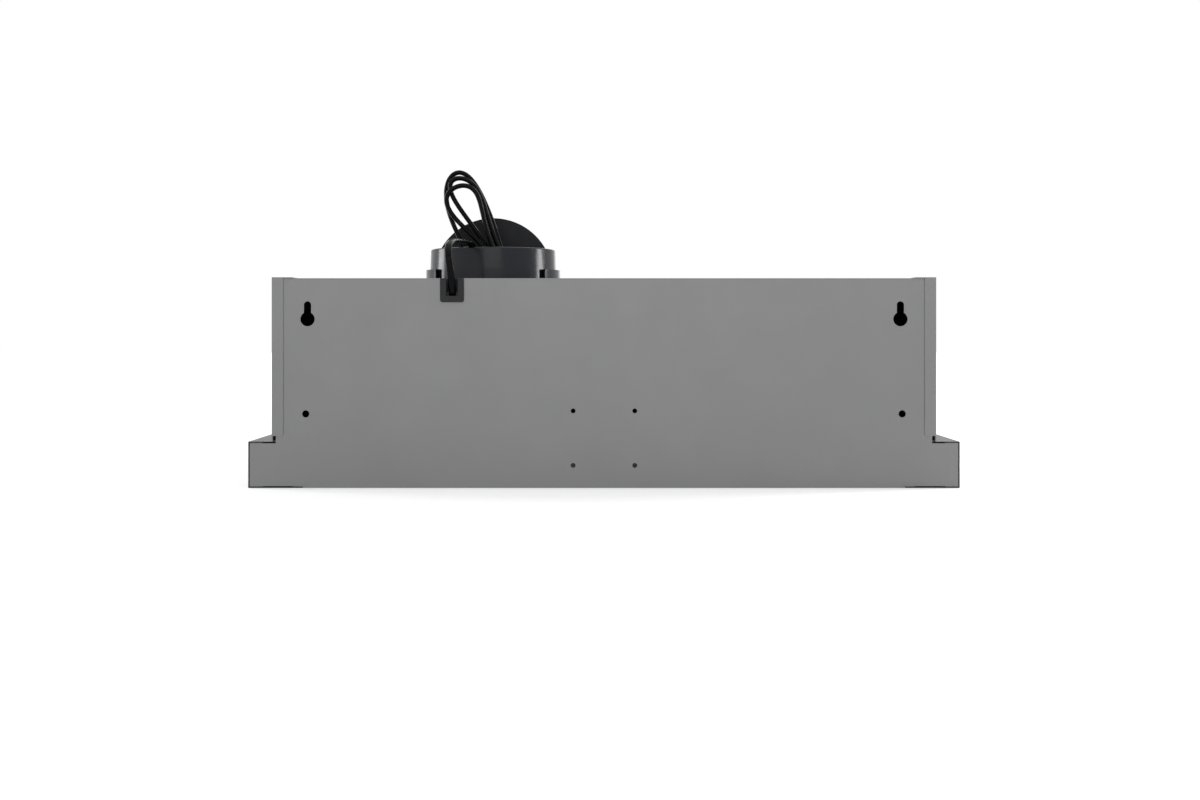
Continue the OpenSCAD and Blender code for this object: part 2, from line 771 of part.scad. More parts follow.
module terminal_block() {
  color("#e6e4da") difference() {
    box(clamp_x - 18, clamp_x + 18, box_y1 - 16, box_y1 - 2, box_z0 + 12, box_z0 + 26);
    for (i = [-1, 0, 1]) rod([clamp_x + i * 11, box_y1 - 17, box_z0 + 19], 3, 9, "y");
  }
}

module terminal_box_cover() {
  color(matte_plastic) {
    box(box_x0, box_x1, box_y0, box_y0 + 2, box_z0, box_z1);
    difference() {
      box(box_x0 + 2, box_x1 - 2, box_y0 + 2, box_y0 + 6, box_z0 + 2, box_z1 - 2);
      box(box_x0 + 3.5, box_x1 - 3.5, box_y0 + 1, box_y0 + 7, box_z0 + 3.5, box_z1 - 3.5);
    }
  }
}

// Tube with flange, rim, hollow lugs left and right, bands front and back, and bosses for the damper's rod.
module outlet_collar() {
  rim_z = collar_z + collar_h;
  rim_r = collar_r - collar_draft;
  round_r = 1.5;
  ledge_z = hinge_z - flap_off - flap_t - gap;
  ledge_t = 1.8;
  lug_z = collar_z + lug_top;
  lug_t = 1.6;
  color("#1d2026") {
    difference() {
      union() {
        translate([outlet_x, outlet_y, 0]) rotate_extrude($fn = 128) polygon(concat(
          [
            [collar_bore, collar_z], [flange_r, collar_z], [flange_r, collar_z + flange_t],
            [collar_r, collar_z + flange_t]
          ],
          [for (a = [0:30:90]) [rim_r - round_r + round_r * cos(a), rim_z - round_r + round_r * sin(a)]],
          [[rim_r - collar_wall, rim_z - 0.6]]
        ));
        for (s = [-1, 1])
          translate([outlet_x, outlet_y, hinge_z])
            side_box(s, collar_bore - hinge_boss, collar_bore + eps, -hinge_boss_h, hinge_boss_h,
              -hinge_boss_h, hinge_boss_h);
      }
      rod([outlet_x - damper_rod_end, outlet_y, hinge_z], damper_rod_r, 2 * damper_rod_end, "x");
      collar_screw_places() rod([0, 0, collar_z - 1], screw_clear, 4);
    }
    collar_sector(collar_bore - ledge_w, collar_bore + eps, ledge_z - ledge_t, ledge_z, 205, 130);
    for (a = [25, 143])
      collar_sector(collar_bore - ledge_w, collar_bore + eps, ledge_z - ledge_t, ledge_z, a, 12);
    for (a = [0, 180]) {
      collar_sector(lug_r - lug_t, lug_r, collar_z + flange_t, lug_z, a - lug_span / 2, lug_span);
      collar_sector(rim_r - 0.6, lug_r, lug_z - lug_t, lug_z, a - lug_span / 2, lug_span);
    }
    for (a = [90, 270])
      collar_sector(rim_r - 0.6, collar_r + 0.8, collar_z + flange_t, lug_z, a - lug_span / 2, lug_span);
  }
}

module damper_rod() {
  color(bare_steel)
    rod([outlet_x - damper_rod_end, outlet_y, hinge_z], damper_rod_r, 2 * damper_rod_end, "x");
}

module flap_outline() {
  difference() {
    intersection() {
      circle(r = flap_r, $fn = 128);
      translate([-flap_r, flap_edge]) square([2 * flap_r, flap_r]);
    }
    for (s = [-1, 1])
      translate([s * (collar_bore - flap_inset) + (s < 0 ? -20 : 0), 0]) square([20, flap_corner]);
  }
}

// Half disc that lies behind the rod, with two knuckles; turned round, they fit between the other flap's.
module flap() {
  color("#15161a") difference() {
    union() {
      translate([0, 0, -flap_off - flap_t]) linear_extrude(flap_t) flap_outline();
      for (x = knuckle_x) {
        rod([x, 0, 0], knuckle_r, knuckle_len, "x");
        translate([x, 0, -flap_off - flap_t]) cube([knuckle_len, flap_edge + eps, flap_t]);
      }
    }
    rod([-flap_r, 0, 0], damper_rod_r + rod_gap, 2 * flap_r, "x");
  }
}

module rear_flap() {
  translate([outlet_x, outlet_y, hinge_z]) rotate([90, 0, 0]) flap();
}

module front_flap() {
  translate([outlet_x, outlet_y, hinge_z]) rotate([0, 0, 180]) flap();
}

module cord_clamp() {
  y0 = y_in + sheet;
  z1 = top_z + sheet;
  z0 = z1 - clamp_h;
  slot = cord_w / 2;
  color(plastic) difference() {
    union() {
      box(clamp_x - clamp_w / 2, clamp_x + clamp_w / 2, y0, y0 + clamp_t, z0 + 2, z1);
      box(clamp_x - clamp_w / 2 + 2, clamp_x + clamp_w / 2 - 2, y0, y0 + clamp_t, z0, z0 + 2 + eps);
      for (s = [-1, 1]) rod([clamp_x + s * (clamp_w / 2 - 2), y0, z0 + 2], 2, clamp_t, "y");
      box(clamp_x - clamp_body / 2, clamp_x + clamp_body / 2, y_in - 10, y0 + eps, z0 + 2.2, z1);
    }
    box(clamp_x - slot, clamp_x + slot, y_in - 7.9, y0, z0 - 1, z1 + 1);
    box(clamp_x - window_w / 2, clamp_x + window_w / 2, y_in - 2, y0 + clamp_t + 1, z1 - window_h, z1 + 1);
    box(clamp_x - window_w / 2, clamp_x + window_w / 2, y_in - 7.9, y0, z1 - window_h + clamp_ledge, z1 + 1);
  }
}

module cord_lead() {
  color(rubber) {
    flat_tube(curve(lead_points, 2), curve(lead_turns, 2), cord_w, cord_t, 8);
    flat_tube(curve(tail_points, 2), curve(tail_turns, 2), cord_w, cord_t, 8);
  }
}

module cord_hank() {
  color(rubber)
    flat_tube(hank_path, [for (p = hank_path) 90], cord_w, cord_t, 6);
}

module plug() {
  color(rubber) translate([plug_x, plug_y, plug_z]) difference() {
    union() {
      box(-plug_w / 2 + 4, plug_w / 2 - 4, -plug_len / 2, plug_len / 2, -plug_t / 2, plug_t / 2);
      box(-plug_w / 2, plug_w / 2, -plug_len / 2, 6, -plug_t / 2, plug_t / 2);
      rod([0, plug_len / 2 - eps, 0], 5, relief_len - 5 + eps, "y");
    }
    for (s = [-1, 1]) rod([s * 9.5, -plug_len / 2 - 1, 0], 2.4, 10, "y");
  }
}

module plug_pins() {
  color("#c9b27a") translate([plug_x, plug_y, plug_z])
    for (s = [-1, 1]) rod([s * 9.5, -plug_len / 2 - 19, 0], 2.4, 28, "y");
}

module lamp_places() {
  for (s = [-1, 1]) translate([s * lamp_spacing / 2, lamp_y, 0]) children();
}

module lamp_bezels() {
  r = lamp_bore / 2;
  color(bare_steel) lamp_places() rotate_extrude($fn = 72) polygon([
    [r - 4, 0.1], [r + 3, 0.1], [r + 3, tray_z], [r - 0.2, tray_z],
    [r - 0.2, 8], [r - 1.6, 8], [r - 1.6, tray_z], [r - 4, tray_z]
  ]);
}

module lamp_lenses() {
  color("#f2f2ee") lamp_places() rod([0, 0, tray_z], lamp_bore / 2 - 1.7, 1.5);
}

module led_modules() {
  z = tray_z + 1.5;
  color("#cfd0d2") lamp_places() {
    rod([0, 0, z], lamp_bore / 2 - 1.7, lamp_h - z);
    rod([0, 0, lamp_h - eps], lamp_bore / 2 - 8, 2 + eps);
  }
}

module led_driver() {
  color("#dfe0e0") box(64, 114, lamp_y - 14, lamp_y + 14, tray_z + sheet, tray_z + sheet + 11);
}

module switch_housing(x, travel) {
  z0 = tray_z + sheet;
  half = slider_plate / 2 + slot_gap;
  color(matte_plastic) difference() {
    box(x - half - switch_wall, x + travel + half + switch_wall,
      lamp_y - half - switch_wall, lamp_y + half + switch_wall, z0, z0 + switch_h);
    box(x - half, x + travel + half, lamp_y - half, lamp_y + half, z0 - 1, z0 + 3.6);
  }
}

module switch_housings() {
  switch_housing(speed_x, speed_travel);
  switch_housing(light_x, light_travel);
}

module slider(x) {
  z0 = tray_z + sheet + gap;
  half = slider_plate / 2;
  color("#2b2c2f") {
    box(x - half, x + half, lamp_y - half, lamp_y + half, z0, z0 + 3);
    for (i = [-1, 0, 1])
      box(x + i * 3 - 0.9, x + i * 3 + 0.9, lamp_y - knob / 2, lamp_y + knob / 2, 0.2, 1);
    box(x - knob / 2, x + knob / 2, lamp_y - knob / 2, lamp_y + knob / 2, 0.8, z0 + eps);
  }
}

module speed_slider() {
  slider(speed_x);
}

module light_slider() {
  slider(light_x);
}

motor_cable = [
  [box_x0 - 0.5, box_y1 - 22, box_z0 + 24], [box_x0 - 8, box_y1 - 22, box_z0 + 24],
  [box_x0 - 32, box_y1 - 30, box_z0 + 24], [box_x0 - 42, box_y1 - 52, box_z0 + 24],
  [box_x0 - 43, outlet_y + outlet_r - 1.4, box_z0 + 24]
];
cable_y = y_in - 6;
lamp_cable = [
  [clamp_x + 12, box_y1 - 22, box_z0 - 0.63], [clamp_x + 12, box_y1 - 22, box_z0 - 7],
  [clamp_x + 2, box_y1 - 14, box_z0 - 22], [70, cable_y, 46], [20, cable_y, 25], [3, cable_y, 14],
  [0, cable_y - 3, 6.5], [0, cable_y - 16, 4.2], [0, 60, 4.2], [0, 0, 4.2],
  [0, lamp_y + 30, 4.2], [0, lamp_y + 18, 5]
];

module internal_cables() {
  color("#2c2c2e") {
    flat_tube(curve(motor_cable, 3), curve([for (p = motor_cable) 70], 3), 5, 5, 8);
    flat_tube(curve(lamp_cable, 3), curve([for (p = lamp_cable) 0], 3), 4, 4, 8);
  }
}

module housing_screws() {
  color(bare_steel) {
    housing_screw_places() screw_from_above(0, 0, body_h, 5);
    wing_screw_places() screw_from_above(0, 0, base_h + sheet, 3);
    tray_screw_places() screw_from_above(0, 0, tray_z + sheet, 1.5);
  }
}

module blower_screws() {
  color(bare_steel) {
    ear_places() {
      rod([0, 0, split_z - 5 - eps], screw_r, 10 + eps);
      rod([0, 0, split_z - 6.8], 3, 1.8);
    }
    hanger_places() screw_from_above(0, 0, top_z + sheet, 9);
  }
}

module collar_screws() {
  color(bare_steel)
    collar_screw_places() screw_from_above(0, 0, collar_z + flange_t, 11, 2.6, 1.4);
}

// Section of the front bar: rounded at its front edges and open at the back.
module bar_outline(inset) {
  r = 5;
  y0 = y_bar + inset;
  z0 = bar_z + inset;
  z1 = bar_z + bar_h - inset;
  y1 = y_front - gap;
  translate([y_bar + r, z0]) square([y1 - y_bar - r, z1 - z0]);
  translate([y0, bar_z + r]) square([y1 - y0, bar_h - 2 * r]);
  for (z = [bar_z + r, bar_z + bar_h - r]) translate([y_bar + r, z]) circle(r = r - inset);
}

module along_x(x0, x1) {
  translate([x0, 0, 0]) rotate([90, 0, 90]) linear_extrude(x1 - x0) children();
}

module front_bar() {
  half = bar_w / 2 - cap_t;
  y1 = y_front - gap;
  color(bare_steel) {
    difference() {
      along_x(-half, half) bar_outline(0);
      along_x(-half - 1, half + 1) {
        bar_outline(bar_wall);
        translate([y1 - 4, bar_z + bar_wall]) square([8, bar_h - 2 * bar_wall]);
      }
    }
    for (z = [bar_z, bar_z + bar_h - 6]) box(-half, half, y1 - bar_wall, y1, z, z + 6);
  }
}

module bar_end_caps() {
  half = bar_w / 2;
  color(plastic) for (s = [-1, 1]) {
    if (s > 0) along_x(half - cap_t, half) bar_outline(0);
    if (s < 0) along_x(-half, -half + cap_t) bar_outline(0);
    side_box(s, half - cap_t - 8, half - cap_t, y_bar + 4, y_front - gap - 4, bar_z + 7, bar_z + bar_h - 7);
  }
}

module visor_frame() {
  y0 = y_front - gap;
  y1 = y0 + visor_d;
  wall = 1.2;
  color(steel) {
    difference() {
      box(-visor_half, visor_half, y0, y1, visor_z, visor_z + visor_h);
      box(-visor_half + wall, visor_half - wall, y0 + wall, y1 - wall, visor_z + wall, visor_z + visor_h + 1);
      box(-visor_half + visor_lip, visor_half - visor_lip, y0 + visor_lip, y1 - visor_lip,
        visor_z - 1, visor_z + visor_h);
    }
    for (x = cross_x) box(x - 8, x + 8, y0 + visor_lip - eps, y1 - visor_lip + eps, visor_z, visor_z + wall);
  }
}

// Flat pack of mesh: a plate with rows of staggered slots.
module mesh_plate(x0, x1, y0, y1, z0, z1, nx, ny, border) {
  dx = (x1 - x0 - 2 * border) / nx;
  dy = (y1 - y0 - 2 * border) / ny;
  translate([0, 0, z0]) linear_extrude(z1 - z0) difference() {
    translate([x0, y0]) square([x1 - x0, y1 - y0]);
    for (j = [0:ny - 1], i = [0:nx - 1 - j % 2])
      translate([x0 + border + dx * (i + 0.09 + (j % 2) / 2), y0 + border + dy * (j + 0.13)])
        square([dx * 0.82, dy * 0.74]);
  }
}

module visor_filter() {
  y0 = y_front - gap;
  wall = 1.2;
  color("#a9abac")
    mesh_plate(-visor_half + wall + 0.2, visor_half - wall - 0.2, y0 + wall + 0.2, y0 + visor_d - wall - 0.2,
      visor_z + wall, visor_z + wall + 4, 16, 8, 14);
}

module runner(s) {
  color(bare_steel)
    side_box(s, visor_half, wing_wall - rail_wall - 0.4, y_front + 1, y_front + 1 + runner_len,
      rail_z + rail_wall + gap, rail_z + rail_h - rail_wall - gap);
}

module visor_screws() {
  color(bare_steel) for (x = [-220, -75, 75, 220]) {
    rod([x, y_front - gap - bar_wall - eps, visor_z + 9], screw_r, 4, "y");
    rod([x, y_front - gap + 1.2, visor_z + 9], 3, 1.8, "y");
  }
}

module filter_frame(s) {
  x0 = window_x0 + filter_gap;
  x1 = window_x1 - filter_gap;
  y0 = window_y0 + filter_gap;
  y1 = window_y1 - 3;
  z1 = filter_z + filter_t;
  border = 12;
  mid = (x0 + x1) / 2;
  color("#c3c5c6") difference() {
    union() {
      side_box(s, x0, x1, y0, y1, filter_z, z1);
      for (x = [x0 + 40, x1 - 40])
        side_box(s, x - 15, x + 15, y1 - eps, y1 + 7, tray_z + sheet + gap, tray_z + sheet + gap + 1);
    }
    side_box(s, x0 + border, x1 - border, y0 + border, y1 - border, -1, z1 + 1);
    side_box(s, x0 + 4, x1 - 4, y0 + 4, y1 - 4, filter_z + 3, z1 - 1.5);
    side_box(s, mid - 22, mid + 22, y0 + 2.5, y0 + 9.5, -1, filter_z + 2.9);
  }
}

module filter_mesh(s) {
  x0 = window_x0 + filter_gap + 4;
  x1 = window_x1 - filter_gap - 4;
  y0 = window_y0 + filter_gap + 4;
  y1 = window_y1 - 3 - 4;
  a = min(s * x0, s * x1);
  b = max(s * x0, s * x1);
  color("#b4b6b7") mesh_plate(a, b, y0, y1, filter_z + 3, filter_z + filter_t - 1.5, 10, 11, 9);
}

module filter_pull(s) {
  mid = s * (window_x0 + window_x1) / 2;
  rod([mid - 22, window_y0 + filter_gap + 6, filter_z + 1.3], 1.3, 44, "x");
}

back_panel();
top_panel();
front_panel();
side_panel(-1);  // left_side_panel
side_panel(1);  // right_side_panel
wing(-1);  // left_wing
wing(1);  // right_wing
base_tray();
rail(-1);  // left_rail
rail(1);  // right_rail
scroll_base();
scroll_cover();
motor();
motor_bushes();
motor_screws();
capacitor();
capacitor_clip();
terminal_box();
terminal_block();
terminal_box_cover();
outlet_collar();
damper_rod();
cord_clamp();
cord_lead();
cord_hank();
plug();
plug_pins();
lamp_bezels();
lamp_lenses();
led_modules();
led_driver();
switch_housings();
internal_cables();
housing_screws();
blower_screws();
collar_screws();
impeller();
motor_shaft();
impeller_nut();
rear_flap();
front_flap();
front_bar();
bar_end_caps();
visor_frame();
visor_filter();
runner(-1);  // left_runner
runner(1);  // right_runner
visor_screws();
filter_frame(-1);  // left_filter_frame
filter_mesh(-1);  // left_filter_mesh
filter_pull(-1);  // left_filter_pull
filter_frame(1);  // right_filter_frame
filter_mesh(1);  // right_filter_mesh
filter_pull(1);  // right_filter_pull
speed_slider();
light_slider();
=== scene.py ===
# Telescopic range hood seen from behind: sheet-metal box, round outlet with its damper,
# and the mains lead stowed in the outlet.
import bmesh
import bpy
import json
import math
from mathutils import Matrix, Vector


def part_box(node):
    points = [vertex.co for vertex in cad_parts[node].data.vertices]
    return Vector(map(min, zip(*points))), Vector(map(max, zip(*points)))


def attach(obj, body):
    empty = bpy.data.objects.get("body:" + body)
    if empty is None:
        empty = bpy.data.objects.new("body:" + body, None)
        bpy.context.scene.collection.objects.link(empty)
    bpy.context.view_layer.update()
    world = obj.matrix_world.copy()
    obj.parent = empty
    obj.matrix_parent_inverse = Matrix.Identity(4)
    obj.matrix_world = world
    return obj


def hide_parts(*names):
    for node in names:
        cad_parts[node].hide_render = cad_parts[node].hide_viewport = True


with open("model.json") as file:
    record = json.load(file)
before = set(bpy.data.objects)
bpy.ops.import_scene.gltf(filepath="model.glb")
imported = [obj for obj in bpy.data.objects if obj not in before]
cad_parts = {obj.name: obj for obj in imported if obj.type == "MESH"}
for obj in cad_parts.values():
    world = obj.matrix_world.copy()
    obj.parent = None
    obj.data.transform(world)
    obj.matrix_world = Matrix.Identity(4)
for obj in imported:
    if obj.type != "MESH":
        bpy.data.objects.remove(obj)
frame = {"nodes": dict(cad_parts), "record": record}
nodes = frame["nodes"]
scene = bpy.context.scene
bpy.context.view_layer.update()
bodyOf = {n: body for body, members in frame["record"]["behaviour"]["bodies"].items() for n in members}
slotOf = {part["node"]: part["material_slot"] for part in frame["record"]["subparts"]}
scene.view_settings.view_transform = "Standard"
print("frame loaded with", len(nodes), "nodes")


# Camera: level, behind the middle of the hood; the shifts give the photograph's framing
cameraSet = {"place": (0.0, 1.399, 0.134), "lens": 44.5, "sensor": 36, "near": 0.02, "shiftX": -0.0033,
             "shiftY": -0.0592}

cameraData = bpy.data.cameras.new("rearCamera")
cameraData.sensor_width = cameraSet["sensor"]
cameraData.lens = cameraSet["lens"]
cameraData.shift_x = cameraSet["shiftX"]
cameraData.shift_y = cameraSet["shiftY"]
cameraData.clip_start = cameraSet["near"]
camera = bpy.data.objects.new("rearCamera", cameraData)
camera.location = cameraSet["place"]
camera.rotation_euler = (math.pi / 2, 0, math.pi)
scene.collection.objects.link(camera)
scene.camera = camera


# Helpers for the node trees of materials and shapes
def link(tree, source, target):
    tree.links.new(source, target)


def addNode(tree, kind, values=(), **settings):
    made = tree.nodes.new(kind)
    for key, value in settings.items():
        setattr(made, key, value)
    for key, value in dict(values).items():
        made.inputs[key].default_value = value
    return made


def seenDirectly(tree):
    # 1 for what the camera sees directly, in a mirror or through glass
    path = addNode(tree, "ShaderNodeLightPath")
    first = addNode(tree, "ShaderNodeMath", operation="MAXIMUM")
    second = addNode(tree, "ShaderNodeMath", operation="MAXIMUM")
    link(tree, path.outputs["Is Camera Ray"], first.inputs[0])
    link(tree, path.outputs["Is Glossy Ray"], first.inputs[1])
    link(tree, first.outputs[0], second.inputs[0])
    link(tree, path.outputs["Is Transmission Ray"], second.inputs[1])
    return second.outputs[0]


# Surroundings: white background, pale floor that keeps the shadow, soft lamps; the floor's glow grows from
# near to far over the reach, in metres, and so it fades to white
stageSet = {
    "ambient": 0.55, "ambientColour": (0.97, 0.98, 1.0), "floorSize": 14.0, "floorDrop": 0.0004,
    "floorColour": (0.8, 0.8, 0.8), "glowNear": 0.42, "glowFar": 1.0, "glowReach": (0.5, 2.0),
}
lampSet = {
    "overhead": {"place": (0.0, 0.5, 1.7), "aim": (0.0, 0.0, 0.1), "size": (1.8, 1.6), "watts": 5},
    "behindCamera": {"place": (0.0, 2.6, 0.9), "aim": (0.0, 0.1, 0.12), "size": (1.6, 1.0), "watts": 6},
    "leftStrip": {"place": (1.27, -0.26, 0.28), "aim": (0.1, 0.0, 0.19), "size": (0.30, 0.8), "watts": 7.5},
    "rightStrip": {"place": (-1.04, -0.12, 0.28), "aim": (0.1, 0.0, 0.19), "size": (0.26, 0.8), "watts": 9.0},
    "frontFill": {"place": (0.0, -1.9, 0.7), "aim": (0.0, 0.0, 0.1), "size": (1.8, 1.0), "watts": 5},
}


def buildWorld():
    # the camera sees pure white, the part is lit by the ambient colour
    world = bpy.data.worlds.new("studio")
    scene.world = world
    world.use_nodes = True
    tree = world.node_tree
    tree.nodes.clear()
    ambient = addNode(tree, "ShaderNodeBackground", {"Color": (*stageSet["ambientColour"], 1),
                                                     "Strength": stageSet["ambient"]})
    white = addNode(tree, "ShaderNodeBackground", {"Color": (1, 1, 1, 1), "Strength": 1.0})
    mixed = addNode(tree, "ShaderNodeMixShader")
    out = addNode(tree, "ShaderNodeOutputWorld")
    link(tree, seenDirectly(tree), mixed.inputs[0])
    link(tree, ambient.outputs[0], mixed.inputs[1])
    link(tree, white.outputs[0], mixed.inputs[2])
    link(tree, mixed.outputs[0], out.inputs["Surface"])


def paleFloor():
    # matt paper that glows towards its edges, so that it ends in the white background
    paper = bpy.data.materials.new("paleFloor")
    paper.use_nodes = True
    tree = paper.node_tree
    tree.nodes.clear()
    matt = addNode(tree, "ShaderNodeBsdfDiffuse", {"Color": (*stageSet["floorColour"], 1)})
    glow = addNode(tree, "ShaderNodeEmission", {"Color": (1, 1, 1, 1)})
    spot = addNode(tree, "ShaderNodeTexCoord").outputs["Object"]
    reach = addNode(tree, "ShaderNodeVectorMath", operation="LENGTH")
    low, high = stageSet["glowReach"]
    fade = addNode(tree, "ShaderNodeMapRange", {
        "From Min": low, "From Max": high, "To Min": stageSet["glowNear"], "To Max": stageSet["glowFar"]})
    level = addNode(tree, "ShaderNodeMath", operation="MULTIPLY")
    both = addNode(tree, "ShaderNodeAddShader")
    out = addNode(tree, "ShaderNodeOutputMaterial")
    link(tree, spot, reach.inputs[0])
    link(tree, reach.outputs["Value"], fade.inputs["Value"])
    link(tree, seenDirectly(tree), level.inputs[0])
    link(tree, fade.outputs["Result"], level.inputs[1])
    link(tree, level.outputs[0], glow.inputs["Strength"])
    link(tree, matt.outputs[0], both.inputs[0])
    link(tree, glow.outputs[0], both.inputs[1])
    link(tree, both.outputs[0], out.inputs["Surface"])
    return paper


def buildFloor():
    half = stageSet["floorSize"] / 2
    mesh = bpy.data.meshes.new("floor")
    corners = [(-half, -half, 0), (half, -half, 0), (half, half, 0), (-half, half, 0)]
    mesh.from_pydata(corners, [], [(0, 1, 2, 3)])
    mesh.materials.append(paleFloor())
    floor = bpy.data.objects.new("floor", mesh)
    floor.location = (0, 0, -stageSet["floorDrop"])
    scene.collection.objects.link(floor)


def buildLamps():
    for name, s in lampSet.items():
        light = bpy.data.lights.new(name, "AREA")
        light.shape = "RECTANGLE"
        light.size, light.size_y = s["size"]
        light.energy = s["watts"]
        lamp = bpy.data.objects.new(name, light)
        lamp.location = s["place"]
        lamp.rotation_euler = (Vector(s["aim"]) - Vector(s["place"])).to_track_quat("-Z", "Y").to_euler()
        scene.collection.objects.link(lamp)


buildWorld()
buildFloor()
buildLamps()
print("camera, floor and lamps placed")


# Finishes: colour is linear and spread is how far it wanders; grain is the pattern's frequency per metre on
# X, Y and Z; bump is a strength and such a frequency; shine is the reflection, edge its tint at a low angle
finishSet = {
    "housing_steel": {
        "colour": (0.243, 0.243, 0.242), "spread": 0.02, "grain": (14, 14, 14),
        "rough": (0.40, 0.46), "metal": 0.55, "bump": (0.03, (900, 900, 900)), "shine": 0.5, "edge": 0.15},
    "bare_steel": {
        "colour": (0.50, 0.50, 0.49), "spread": 0.10, "grain": (6, 260, 900),
        "rough": (0.24, 0.36), "metal": 1.0, "bump": (0.10, (8, 900, 2600)), "shine": 0.5},
    "zinc_steel": {
        "colour": (0.46, 0.47, 0.48), "spread": 0.16, "grain": (120, 120, 120),
        "rough": (0.28, 0.46), "metal": 1.0, "bump": (0.08, (500, 500, 500)), "shine": 0.5},
    "filter_aluminium": {
        "colour": (0.56, 0.57, 0.58), "spread": 0.12, "grain": (160, 160, 160),
        "rough": (0.26, 0.42), "metal": 1.0, "bump": (0.08, (700, 700, 700)), "shine": 0.5},
    "collar_plastic": {
        "colour": (0.0074, 0.0086, 0.0138), "spread": 0.08, "grain": (60, 60, 60),
        "rough": (0.19, 0.23), "metal": 0.0, "bump": (0.015, (700, 700, 700)), "shine": 0.28},
    "flap_plastic": {
        "colour": (0.0056, 0.0058, 0.0074), "spread": 0.12, "grain": (50, 50, 50),
        "rough": (0.40, 0.50), "metal": 0.0, "bump": (0.06, (1500, 1500, 1500)), "shine": 0.2},
    "black_plastic": {
        "colour": (0.008, 0.008, 0.0085), "spread": 0.14, "grain": (70, 70, 70),
        "rough": (0.42, 0.54), "metal": 0.0, "bump": (0.10, (1400, 1400, 1400)), "shine": 0.3},
    "clamp_plastic": {
        "colour": (0.028, 0.028, 0.0295), "spread": 0.08, "grain": (120, 120, 120),
        "rough": (0.46, 0.58), "metal": 0.0, "bump": (0.08, (1600, 1600, 1600)), "shine": 0.2},
    "motor_steel": {
        "colour": (0.17, 0.175, 0.18), "spread": 0.14, "grain": (90, 90, 90),
        "rough": (0.34, 0.48), "metal": 0.85, "bump": (0.08, (600, 600, 600)), "shine": 0.5},
    "cord_rubber": {
        "colour": (0.0030, 0.0030, 0.0033), "spread": 0.14, "grain": (140, 140, 140),
        "rough": (0.17, 0.23), "metal": 0.0, "bump": (0.008, (320, 320, 320)), "shine": 0.07},
    "bush_rubber": {
        "colour": (0.009, 0.009, 0.009), "spread": 0.2, "grain": (200, 200, 200),
        "rough": (0.66, 0.8), "metal": 0.0, "bump": (0.15, (1300, 1300, 1300)), "shine": 0.3},
    "pin_brass": {
        "colour": (0.60, 0.48, 0.26), "spread": 0.10, "grain": (90, 90, 90),
        "rough": (0.20, 0.32), "metal": 1.0, "bump": (0.05, (600, 600, 600)), "shine": 0.5},
    "lens_plastic": {
        "colour": (0.78, 0.78, 0.75), "spread": 0.03, "grain": (80, 80, 80),
        "rough": (0.22, 0.32), "metal": 0.0, "bump": (0.04, (500, 500, 500)), "shine": 0.5},
    "white_plastic": {
        "colour": (0.62, 0.62, 0.59), "spread": 0.05, "grain": (80, 80, 80),
        "rough": (0.38, 0.5), "metal": 0.0, "bump": (0.06, (1000, 1000, 1000)), "shine": 0.4},
    # painted shade: near-black, standing for the shadow in the gaps along the sheets' cut edges
    "cut_edge_shade": {
        "colour": (0.008, 0.008, 0.009), "spread": 0.2, "grain": (90, 90, 400),
        "rough": (0.5, 0.65), "metal": 0.0, "bump": (0.1, (400, 400, 2000)), "shine": 0.15},
}


# What all finishes share: the noises' detail, where a noise counts as low and as high, and how much finer the
# roughness pattern is than the colour's
patternSet = {
    "colourDetail": 4.0, "roughDetail": 3.0, "bumpDetail": 2.0, "noiseMix": 0.55, "low": 0.3, "high": 0.7,
    "roughGrain": 2.3, "bumpDistance": 0.001, "index": 1.5,
}


def makeFinish(name, s):
    p = patternSet
    material = bpy.data.materials.new(name)
    material.use_nodes = True
    tree = material.node_tree
    shader = tree.nodes["Principled BSDF"]
    shader.inputs["Metallic"].default_value = s["metal"]
    shader.inputs["IOR"].default_value = p["index"]
    shader.inputs["Specular IOR Level"].default_value = s["shine"]
    shader.inputs["Specular Tint"].default_value = (*[s.get("edge", 1.0)] * 3, 1)
    place = addNode(tree, "ShaderNodeTexCoord").outputs["Object"]

    def noise(size, detail):
        mapping = addNode(tree, "ShaderNodeMapping", {"Scale": size})
        link(tree, place, mapping.inputs["Vector"])
        made = addNode(tree, "ShaderNodeTexNoise", {"Scale": 1.0, "Detail": detail,
                                                    "Roughness": p["noiseMix"]})
        link(tree, mapping.outputs[0], made.inputs["Vector"])
        return made.outputs["Fac"]

    ramp = addNode(tree, "ShaderNodeValToRGB")
    ends = ((p["low"], 1 - s["spread"]), (p["high"], 1 + s["spread"]))
    for element, (position, share) in zip(ramp.color_ramp.elements, ends):
        element.position = position
        element.color = (*[c * share for c in s["colour"]], 1)
    link(tree, noise(s["grain"], p["colourDetail"]), ramp.inputs[0])
    link(tree, ramp.outputs[0], shader.inputs["Base Color"])

    polish = addNode(tree, "ShaderNodeMapRange", {"From Min": p["low"], "From Max": p["high"],
                                                  "To Min": s["rough"][0], "To Max": s["rough"][1]})
    link(tree, noise([g * p["roughGrain"] for g in s["grain"]], p["roughDetail"]), polish.inputs["Value"])
    link(tree, polish.outputs[0], shader.inputs["Roughness"])

    height, size = s["bump"]
    bump = addNode(tree, "ShaderNodeBump", {"Strength": height, "Distance": p["bumpDistance"]})
    link(tree, noise(size, p["bumpDetail"]), bump.inputs["Height"])
    link(tree, bump.outputs[0], shader.inputs["Normal"])
    return material


finishes = {name: makeFinish(name, s) for name, s in finishSet.items()}


def setFinish(mesh, slot):
    mesh.materials.clear()
    mesh.materials.append(finishes[slot])


for name, node in nodes.items():
    setFinish(node.data, slotOf[name])
print("finishes made:", len(finishes))


# Pieces: each is a plain mesh that rides on a body, has a finish and stands for its CAD node
def addObject(name, mesh):
    piece = bpy.data.objects.new(name, mesh)
    scene.collection.objects.link(piece)
    return piece


